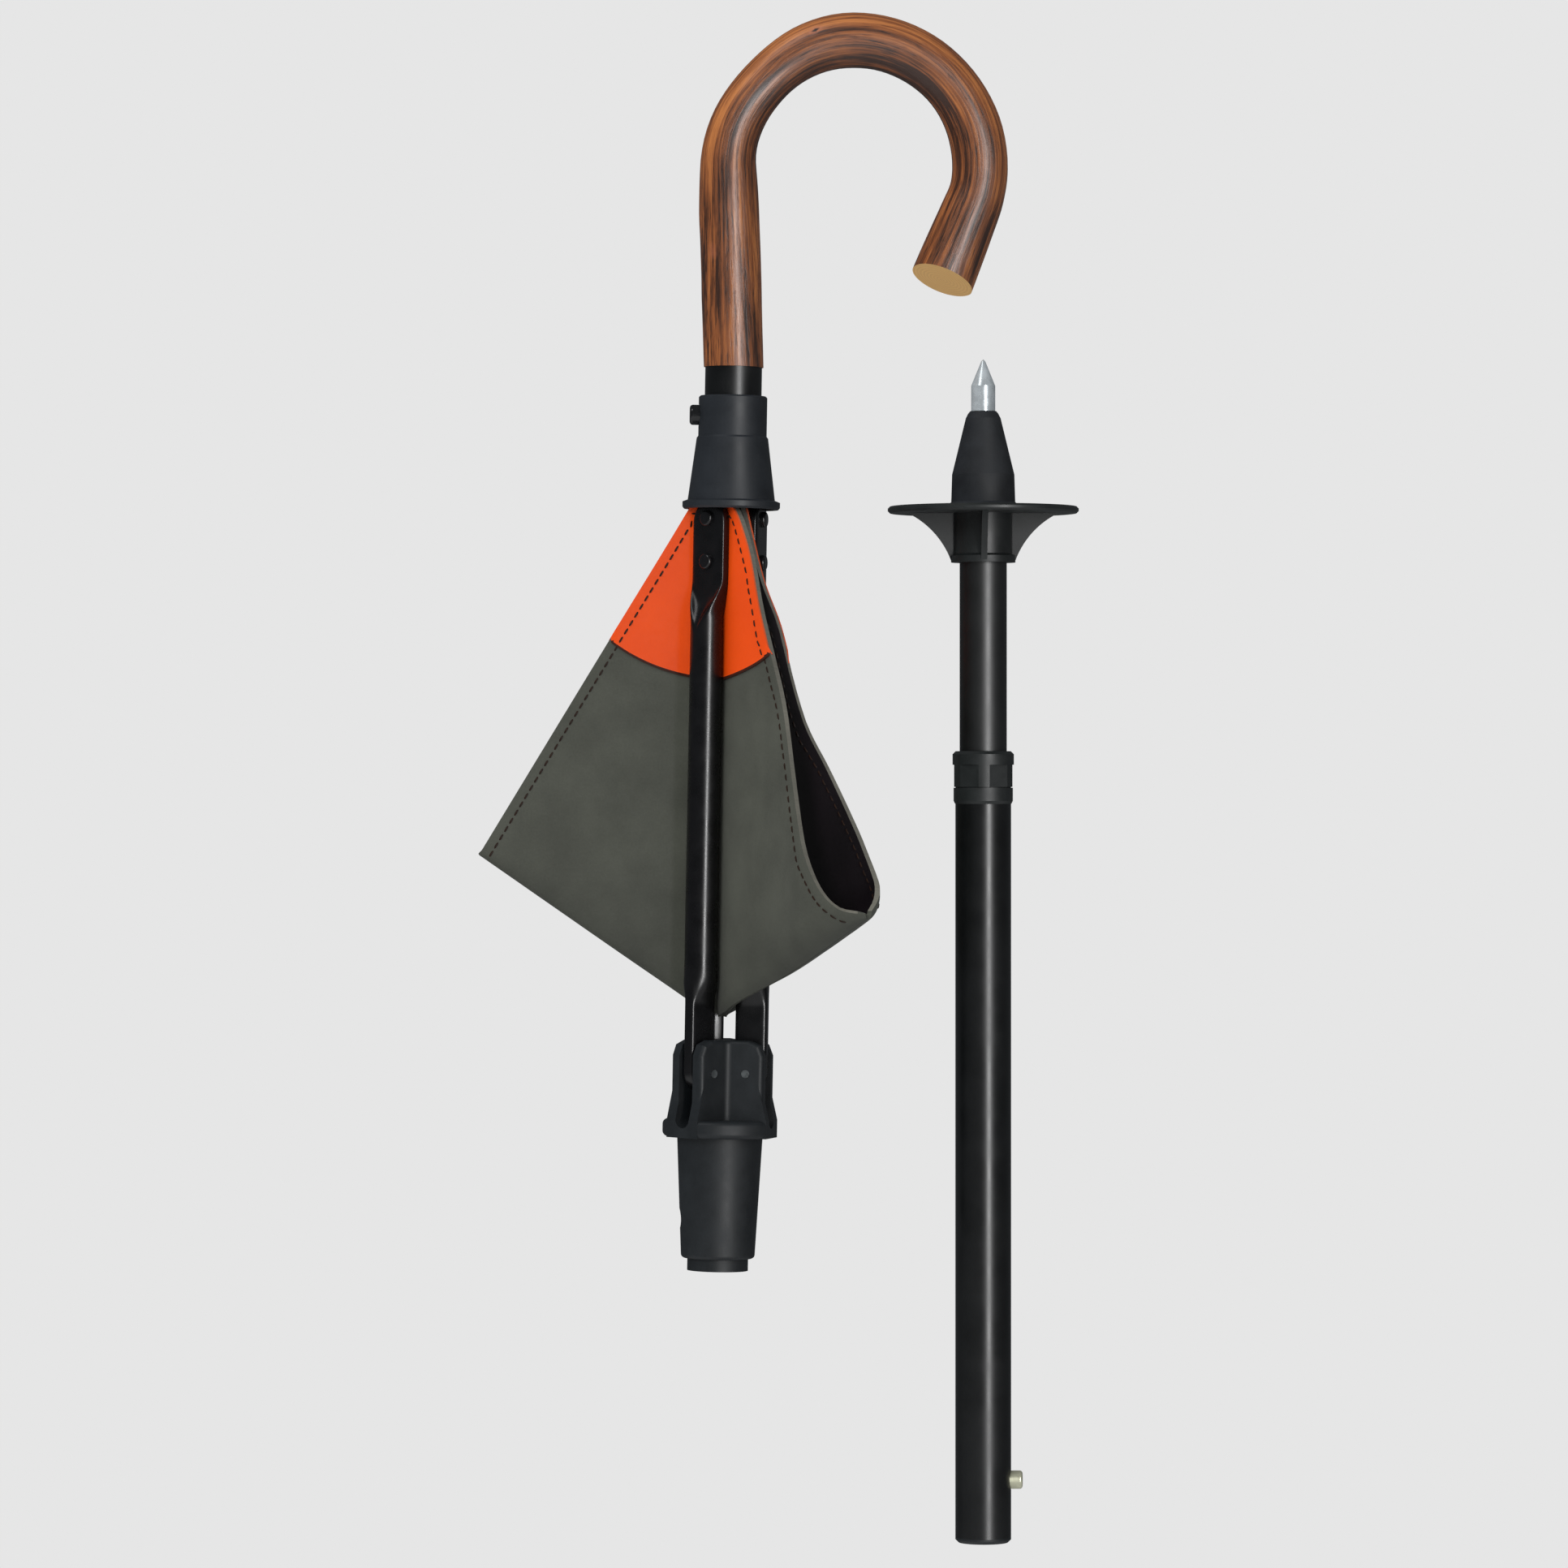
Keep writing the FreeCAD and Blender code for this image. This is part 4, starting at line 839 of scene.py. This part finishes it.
def cloth_point(kite, side, share, up):
    """A point of a kite's middle surface in mm.

    share runs from the arm to the fold's corner, up from the seam to the rim."""
    fold = fold_of(kite, side)
    facts = FOLDS[fold]
    radius = fold_radius(fold, share)
    low = seam_height(fold, share)
    high = rim_height(fold, side, share)
    z = low + (high - low) * up
    swing = (facts["root"] - facts["end"]) * math.exp(-((share / FOLD_SWING) ** 2))
    out, aside = compass(facts["end"] + swing)
    wide = smooth_table(facts["gap"], share)
    over = min(1.0, (z - low) / (wide * 1.35 + 0.01))
    wide *= math.sqrt(max(0.0, 1 - (1 - over) ** 2))
    slack = 1.0 if facts["straight"] else 1 + 0.10 * math.sin(up * math.pi) * math.sin(share * math.pi)
    plan = out * radius + aside * wide * slack * (1 if side == "behind" else -1)
    spine = compass(ARM_AZIMUTH[kite])[0] * follow(SPINE, z)
    return spine.lerp(plan, ease(share / 0.075)) + Vector((0, 0, z))


# A kite's mesh: columns by share from its arm to the fold's corner, rows by share from seam to rim.
NECK_COLUMNS = [0, 0.012, 0.028, 0.045, 0.065, 0.09]
ACROSS = NECK_COLUMNS + evenly(0.12, 0.82, 32) + [0.955, 0.968, 0.978, 0.986, 0.992, 0.997, 1]
UPWARD = [0, 0.008, 0.02, 0.035, 0.055, 0.08] + evenly(0.11, 0.89, 36)


def kite_tip(kite):
    """The kite's highest point, on its arm."""
    return compass(ARM_AZIMUTH[kite])[0] * follow(SPINE, TOP_INSIDE) + Vector((0, 0, TOP_INSIDE + 2))


def kite_columns(across):
    return [("behind", share) for share in reversed(across)] + [("ahead", share) for share in across[1:]]


def sheet_from(name, kite, columns, rows, lift=0.0):
    """Mesh of a kite's region: columns are (side, share) and rows give each column's heights."""
    grid = [[cloth_point(kite, side, share, up) for up in rows(side, share)] for side, share in columns]
    wide, tall = len(grid), len(grid[0])
    if lift:
        def lifted(i, j):
            du = grid[min(i + 1, wide - 1)][j] - grid[max(i - 1, 0)][j]
            dv = grid[i][min(j + 1, tall - 1)] - grid[i][max(j - 1, 0)]
            normal = du.cross(dv)
            return grid[i][j] + normal.normalized() * lift if normal.length > 1e-6 else grid[i][j]
        grid = [[lifted(i, j) for j in range(tall)] for i in range(wide)]
    points, corners = [], []
    run = 0.0
    for i in range(wide):
        if i:
            run += (grid[i][tall // 2] - grid[i - 1][tall // 2]).length
        for j in range(tall):
            points.append(grid[i][j] * MM)
            corners.append((run * MM, grid[i][j].z * MM))
    starts = [i * tall + j for i in range(wide - 1) for j in range(tall - 1)]
    return mesh_piece(name, points, [(a, a + tall, a + tall + 1, a + 1) for a in starts], corners)


def thicken(obj, thickness, inner=0, rim=0):
    """Give a sheet its thickness, half to each side."""
    wall = obj.modifiers.new("wall", "SOLIDIFY")
    wall.thickness = thickness
    wall.offset = 0
    wall.material_offset = inner
    wall.material_offset_rim = rim
    activate(obj)
    bpy.ops.object.modifier_apply(modifier="wall")


def cross_blend(obj):
    """Put the piece's place into its mesh."""
    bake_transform(obj)


class STICK_OT_seat(bpy.types.Operator):
    """Hang the three kite shaped panels of the folded seat between the arms"""
    bl_idname = "stick.seat"
    bl_label = "Folded seat"

    def execute(self, context):
        settings = context.scene.stick_seat
        cloth = (
            cloth_finish("canvas_outside", settings.outside, 0.14, 0.72, 0.00022, True, 0.08),
            cloth_finish("canvas_lining", settings.lining, 0.3, 0.8, 0.0002),
            cloth_finish("canvas_cut_edge", settings.edge, 0.2, 0.8, 0.0003))
        orange = (
            cloth_finish("orange_patch", settings.patch, 0.06, 0.6, 0.00012),
            cloth_finish("orange_patch_edge", srgb(236, 98, 48), 0.06, 0.65, 0.00012),
            cloth_finish("patch_seam_shadow", srgb(62, 26, 14), 0.2, 0.75, 0.00012))
        thread = worked_surface("dark_thread", srgb(44, 26, 16), 0.3, (0.55, 0.7), specular=0.25,
                                cloud=900, grain=(3000, 0.3, 0.0001))
        for kite in KITES:
            self.panel(kite, settings, cloth, orange, thread)
        return {"FINISHED"}

    def panel(self, kite, settings, cloth, orange, thread):
        """One kite with its patch and its stitches."""
        sheet = sheet_from("seat_cloth_" + kite, kite, kite_columns(ACROSS), lambda side, share: UPWARD)
        shade = sheet.data.attributes.new("seam_shade", "FLOAT", "POINT")
        for index in range(len(sheet.data.vertices)):
            row = UPWARD[index % len(UPWARD)]
            shade.data[index].value = SHADE_DEPTH * math.exp(-((row / SHADE_REACH) ** 2))
        dress(sheet, *cloth)
        thicken(sheet, settings.thickness, inner=1, rim=CUT_EDGE)
        self.dark_seams(sheet, kite)
        smooth(sheet, 50)
        patches = self.patch(kite, settings, orange)
        stitches = self.stitches(kite, settings, thread)
        for piece in (sheet, patches, stitches):
            cross_blend(piece)
        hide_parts(*("seat_fold_" + fold for fold in KITES[kite]))

    def dark_seams(self, sheet, kite):
        """Only the rims along the arms' side are cut edges: the seams below stay dark."""
        for face in sheet.data.polygons:
            if face.material_index != CUT_EDGE:
                continue
            spot = face.center / MM
            reach = math.hypot(spot.x, spot.y)
            azimuth = math.atan2(spot.y, spot.x)
            for fold in KITES[kite]:
                if math.cos(azimuth - math.radians(FOLDS[fold]["end"])) > 0.8 or reach < SEAM_MIDDLE:
                    share = (reach - FOLD_NECK) / (FOLDS[fold]["reach"] - FOLD_NECK)
                    if spot.z < seam_height(fold, min(1, max(0, share))) + SEAM_RISE:
                        face.material_index = 0

    def patch_row(self, kite, settings):
        """Where the patch's lower edge crosses each column, as a share of its height."""
        tip = kite_tip(kite)
        reach = settings.patch_reach / MM

        def crossing(side, share):
            def outside(up):
                return (cloth_point(kite, side, share, up) - tip).length > reach
            return None if outside(1.0) else turning_point(outside)[1]
        return crossing

    def patch(self, kite, settings, orange):
        """The orange corner round the kite's tip, whose lowest row is a dark band of painted shadow along
        its seam.
        """
        crossing = self.patch_row(kite, settings)
        columns, rows = [], {}
        for side in SIDES:
            low = turning_point(lambda share: crossing(side, share) is not None)[0]
            shares = NECK_COLUMNS + evenly(0.11, low - 0.11, 16)
            columns += [(side, s) for s in (reversed(shares) if side == "behind" else shares[1:])]
            for share in shares:
                found = crossing(side, share)
                rows[(side, share)] = 1.0 if found is None else found

        def heights(side, share):
            low = rows[(side, share)]
            fold = fold_of(kite, side)
            tall = rim_height(fold, side, share) - seam_height(fold, share)
            line = min((1 - low) / 2, SEAM_SHADOW_LINE / tall)
            return [low] + evenly(low + line, 1 - low - line, PATCH_ROWS)

        piece = sheet_from("corner_patch_" + kite, kite, columns, heights,
                           lift=half(settings.thickness) + PATCH_LIFT)
        edit(piece)
        bpy.ops.mesh.remove_doubles(threshold=0.00003)
        leave_edit()
        dress(piece, *orange)
        tip = kite_tip(kite) * MM
        # The faces along the patch's lower edge wear the dark seam colour, a painted shadow line.
        for face in piece.data.polygons:
            if (face.center - tip).length > settings.patch_reach - SEAM_SHADOW_LINE * MM:
                face.material_index = 2
        thicken(piece, PATCH_THICKNESS * MM, rim=1)
        smooth(piece, 50)
        return piece

    def stitches(self, kite, settings, thread):
        """Short raised stitches inside both rims, on both faces of the cloth."""
        inside = half(settings.thickness)
        points, faces = [], []
        for side in SIDES:
            track = self.track(kite, side, settings)
            places = [cloth_point(kite, side, share, up) for share, up, _ in track]
            run, following = 0.0, 0.0
            for here, before, (share, up, covered) in zip(places[1:], places, track[1:]):
                run += (here - before).length
                if run < following:
                    continue
                following = run + STITCH_PITCH
                along = (here - before).normalized()
                rise = here - cloth_point(kite, side, share, up - 0.01)
                normal = along.cross(rise).normalized()
                outward = (cloth_point(kite, side, min(1, share + 0.02), up) - here).cross(rise)
                if normal.dot(outward) * (-1 if side == "behind" else 1) < 0:
                    normal = -normal
                outside = inside + (PATCH_COVER if covered else 0)
                self.one_stitch(points, faces, here, along, normal, outside)
                self.one_stitch(points, faces, here, along, -normal, inside)
        piece = mesh_piece("hem_stitches_" + kite, points, faces)
        dress(piece, thread)
        smooth(piece, 60)
        return piece

    def track(self, kite, side, settings):
        """The line of stitches as share, height and whether the patch lies under it."""
        crossing = self.patch_row(kite, settings)
        fold = fold_of(kite, side)
        length = 0.925 if FOLDS[fold]["straight"] else 0.895
        track = []
        for share in evenly(0.07, length, TRACK_STEPS):
            high, low = rim_height(fold, side, share), seam_height(fold, share)
            more = rim_height(fold, side, min(1, share + NUDGE))
            reach = fold_radius(fold, share + NUDGE) - fold_radius(fold, share)
            drop = settings.hem_inset / MM / max(0.3, math.cos(math.atan2(high - more, reach)))
            if high - low < drop * 1.15:
                break
            up = 1 - drop / (high - low)
            on_patch = crossing(side, share)
            track.append((share, up, on_patch is not None and up > on_patch))
        return track

    def one_stitch(self, points, faces, centre, along, normal, height):
        """A rounded bar that dips into the cloth at both ends."""
        across = normal.cross(along).normalized()
        base = len(points)
        for reach, rise, wide in STITCH_RINGS:
            for turn in range(STITCH_SIDES):
                angle = turn * 2 * math.pi / STITCH_SIDES
                up = height + rise * 1.2 + math.sin(angle) * wide * 0.7
                place = centre + along * reach + normal * up + across * math.cos(angle) * wide
                points.append(place * MM)
        last = base + (len(STITCH_RINGS) - 1) * STITCH_SIDES
        for ring in range(base, last, STITCH_SIDES):
            for turn in range(STITCH_SIDES):
                a, b = ring + turn, ring + (turn + 1) % STITCH_SIDES
                faces.append((a, a + STITCH_SIDES, b + STITCH_SIDES, b))
        faces.append(tuple(range(base, base + STITCH_SIDES)))
        faces.append(tuple(reversed(range(last, last + STITCH_SIDES))))


# Finishes of the carried nodes

# Each finish: the nodes that wear it, then what worked_surface takes.
FINISHES = {
    "black_tube_paint": (("handle_tube", "leg_outer_tube"), srgb(13, 15, 16), 0.25, (0.30, 0.38), {
        "specular": 0.5, "grain": (2200.0, 0.06, 0.00005)}),
    "inner_tube_paint": (("leg_inner_tube",), srgb(13, 16, 16), 0.25, (0.40, 0.46), {
        "specular": 0.75, "grain": (2200.0, 0.04, 0.00005)}),
    "charcoal_moulding": (("hub", "socket_sleeve", "socket_liner", "leg_end_cap", "lock_plug"),
                          srgb(33, 37, 40), 0.16, (0.46, 0.58), {
        "specular": 0.35, "cloud": 110, "grain": (2600.0, 0.25, 0.00008), "speck": 0.5}),
    "bell_moulding": (("top_bell",), srgb(38, 42, 47), 0.14, (0.42, 0.52), {
        "specular": 0.35, "cloud": 90, "grain": (2600.0, 0.2, 0.00008)}),
    "disc_moulding": (("lock_collar", "lock_ring", "ground_disc"), srgb(33, 37, 37), 0.18, (0.40, 0.52), {
        "specular": 0.45, "cloud": 110, "grain": (2600.0, 0.2, 0.00008)}),
    "black_rubber": (("foot_cone",), srgb(36, 39, 43), 0.2, (0.56, 0.68), {
        "specular": 0.35, "cloud": 140, "grain": (1700.0, 0.35, 0.0001)}),
    "bright_steel": (("spike",), srgb(212, 220, 224), 0.10, (0.2, 0.34), {
        "metallic": 0.4, "cloud": 260, "grain": (2400.0, 0.12, 0.00006)}),
    "pin_steel": (("arm_pins",), srgb(140, 145, 146), 0.2, (0.3, 0.45), {"metallic": 1.0, "cloud": 500}),
    "leg_button_plating": (("leg_button",), srgb(215, 215, 188), 0.08, (0.3, 0.42), {
        "metallic": 0.6, "cloud": 400}),
    "handle_button_black": (("handle_button",), srgb(24, 25, 27), 0.2, (0.16, 0.24), {"cloud": 300}),
    "rivet_black": (("arm_rivets_right", "arm_rivets_back", "arm_rivets_front"),
                    srgb(18, 18, 20), 0.25, (0.18, 0.28), {"cloud": 300}),
    "spring_steel": (("handle_button_spring", "leg_button_spring"),
                     srgb(120, 124, 130), 0.1, (0.3, 0.4), {"metallic": 1.0}),
}


class STICK_OT_finishes(bpy.types.Operator):
    """Paint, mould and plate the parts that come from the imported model"""
    bl_idname = "stick.finishes"
    bl_label = "Metal, plastic and rubber finishes"

    def execute(self, context):
        for name, (nodes, colour, spread, rough, others) in FINISHES.items():
            material = worked_surface(name, colour, spread, rough, **others)
            for node in nodes:
                slots = NODES[node].data.materials
                if not len(slots):
                    slots.append(material)
                for index in range(len(slots)):
                    slots[index] = material
        return {"FINISHED"}


# Stage

# Lamps beside the key strip: place, width and height, power and the point they face.
SOFT_LAMPS = {
    "soft_front": ((-1.3, -2.2, 1.3), (1.1, 1.1), 25.0, (0.0, 0, 0.2)),
    "soft_top": ((0.3, -0.6, 2.2), (1.4, 1.4), 5.0, (0.0, 0, 0.2)),
    "soft_back": ((0.4, 2.2, 1.2), (1.2, 1.2), 9.0, (0.0, 0, 0.2)),
}
PLAIN_LIGHT = (0.44, 0.445, 0.455, 1)
MIRRORED_LIGHT = (0.085, 0.09, 0.095, 1)
FLOOR_PLACE = (0, -1.55, -0.6)
FLOOR_SIZE = (5.0, 4.0, 1)
FOCAL_LENGTH = 150
VIEW_CENTRE = (0.02279, 0.1921)


class STICK_OT_stage(bpy.types.Operator):
    """Set the pale floor, soft lamps, plain ground and camera"""
    bl_idname = "stick.stage"
    bl_label = "Studio"

    def execute(self, context):
        settings = context.scene.stick_stage
        context.scene.view_settings.view_transform = "Standard"
        self.world(context.scene, settings)
        self.floor(settings)
        self.camera(context.scene, settings)
        strip = self.lamp("key_strip", (0.95, -2.1, 0.25), (0.26, 1.6), settings.key_power, (0.02, 0, 0.19))
        strip.visible_diffuse = False
        self.lamp("shoulder_glow", (-0.9, -0.9, 2.0), (0.7, 0.7), 7.0, (0.0, 0, 0.45))
        for name, facts in SOFT_LAMPS.items():
            self.lamp(name, *facts).visible_glossy = False
        return {"FINISHED"}

    def world(self, scene, settings):
        """The camera sees the backdrop; diffuse and glossy rays see two plain greys."""
        scene.world = bpy.data.worlds.new("pale_studio")
        scene.world.use_nodes = True
        tree = Tree(scene.world.node_tree)

        def plain(colour):
            return tree.add("ShaderNodeBackground", {"Color": colour}).outputs[0]

        def either(share, first, second):
            return tree.add("ShaderNodeMixShader", {0: share, 1: first, 2: second}).outputs[0]

        path = tree.add("ShaderNodeLightPath").outputs
        around = either(path["Is Glossy Ray"], plain(PLAIN_LIGHT), plain(MIRRORED_LIGHT))
        seen = tree.math("MAXIMUM", path["Is Camera Ray"], path["Is Transmission Ray"])
        ground = tree.fill(tree.nodes["Background"], {"Color": settings.backdrop}).outputs[0]
        tree.fill(tree.nodes["World Output"], {"Surface": either(seen, around, ground)})

    def floor(self, settings):
        """A wide pale sheet below the stick whose far edge stays out of the picture."""
        deselect()
        bpy.ops.mesh.primitive_plane_add(size=1, location=FLOOR_PLACE)
        floor = bpy.context.object
        floor.name = floor.data.name = "studio_floor"
        floor.scale = FLOOR_SIZE
        settle(floor)
        edit(floor)
        bpy.ops.mesh.subdivide(number_cuts=6)
        leave_edit()
        dress(floor, worked_surface(
            "pale_paper", dimmed(settings.backdrop, 0.97), 0.015, (0.75, 0.85),
            specular=0.2, cloud=3, grain=(300, 0.02, 0.0001)))

    def camera(self, scene, settings):
        """A long lens straight in front, rolled a little."""
        lens = bpy.data.cameras.new("photo_camera")
        lens.lens = FOCAL_LENGTH
        lens.sensor_width = 36
        lens.clip_start = 0.1
        lens.clip_end = 50
        camera = bpy.data.objects.new("photo_camera", lens)
        scene.collection.objects.link(camera)
        right = Vector((math.cos(settings.roll), 0, math.sin(settings.roll)))
        up = Vector((-math.sin(settings.roll), 0, math.cos(settings.roll)))
        place = Matrix((right, up, Vector((0, -1, 0)))).transposed().to_4x4()
        place.translation = Vector((VIEW_CENTRE[0], -settings.distance, VIEW_CENTRE[1]))
        camera.matrix_world = place
        scene.camera = camera

    def lamp(self, name, place, size, power, target):
        """A rectangular lamp that faces a point."""
        light = bpy.data.lights.new(name, "AREA")
        light.shape = "RECTANGLE"
        light.size, light.size_y = size
        light.energy = power
        lamp = bpy.data.objects.new(name, light)
        bpy.context.scene.collection.objects.link(lamp)
        lamp.location = place
        lamp.rotation_euler = (Vector(target) - Vector(place)).to_track_quat("-Z", "Y").to_euler()
        return lamp


# Panel and registration


class STICK_PT_panel(bpy.types.Panel):
    """Lists the steps that dress the shooting stick"""
    bl_label = "Shooting stick"
    bl_idname = "STICK_PT_panel"
    bl_space_type = "VIEW_3D"
    bl_region_type = "UI"
    bl_category = "Shooting stick"

    def draw(self, context):
        scene = context.scene
        for group in (scene.stick_crook, scene.stick_arms, scene.stick_seat, scene.stick_stage):
            for name in group.__annotations__:
                self.layout.prop(group, name)
        for operator in OPERATORS:
            self.layout.operator(operator.bl_idname)


OPERATORS = (STICK_OT_stage, STICK_OT_finishes, STICK_OT_crook, STICK_OT_arms, STICK_OT_seat)
SETTINGS = {
    "stick_crook": StickCrookSettings,
    "stick_arms": StickArmSettings,
    "stick_seat": StickSeatSettings,
    "stick_stage": StickStageSettings,
}
CLASSES = tuple(SETTINGS.values()) + OPERATORS + (STICK_PT_panel,)


def register():
    for item in CLASSES:
        bpy.utils.register_class(item)
    for name, group in SETTINGS.items():
        setattr(bpy.types.Scene, name, bpy.props.PointerProperty(type=group))


def unregister():
    for name in SETTINGS:
        delattr(bpy.types.Scene, name)
    for item in reversed(CLASSES):
        bpy.utils.unregister_class(item)


def main():
    register()
    steps = bpy.ops.stick
    for step in (steps.stage, steps.finishes, steps.crook, steps.arms, steps.seat):
        step()
    deselect()


if __name__ == "__main__":
    main()
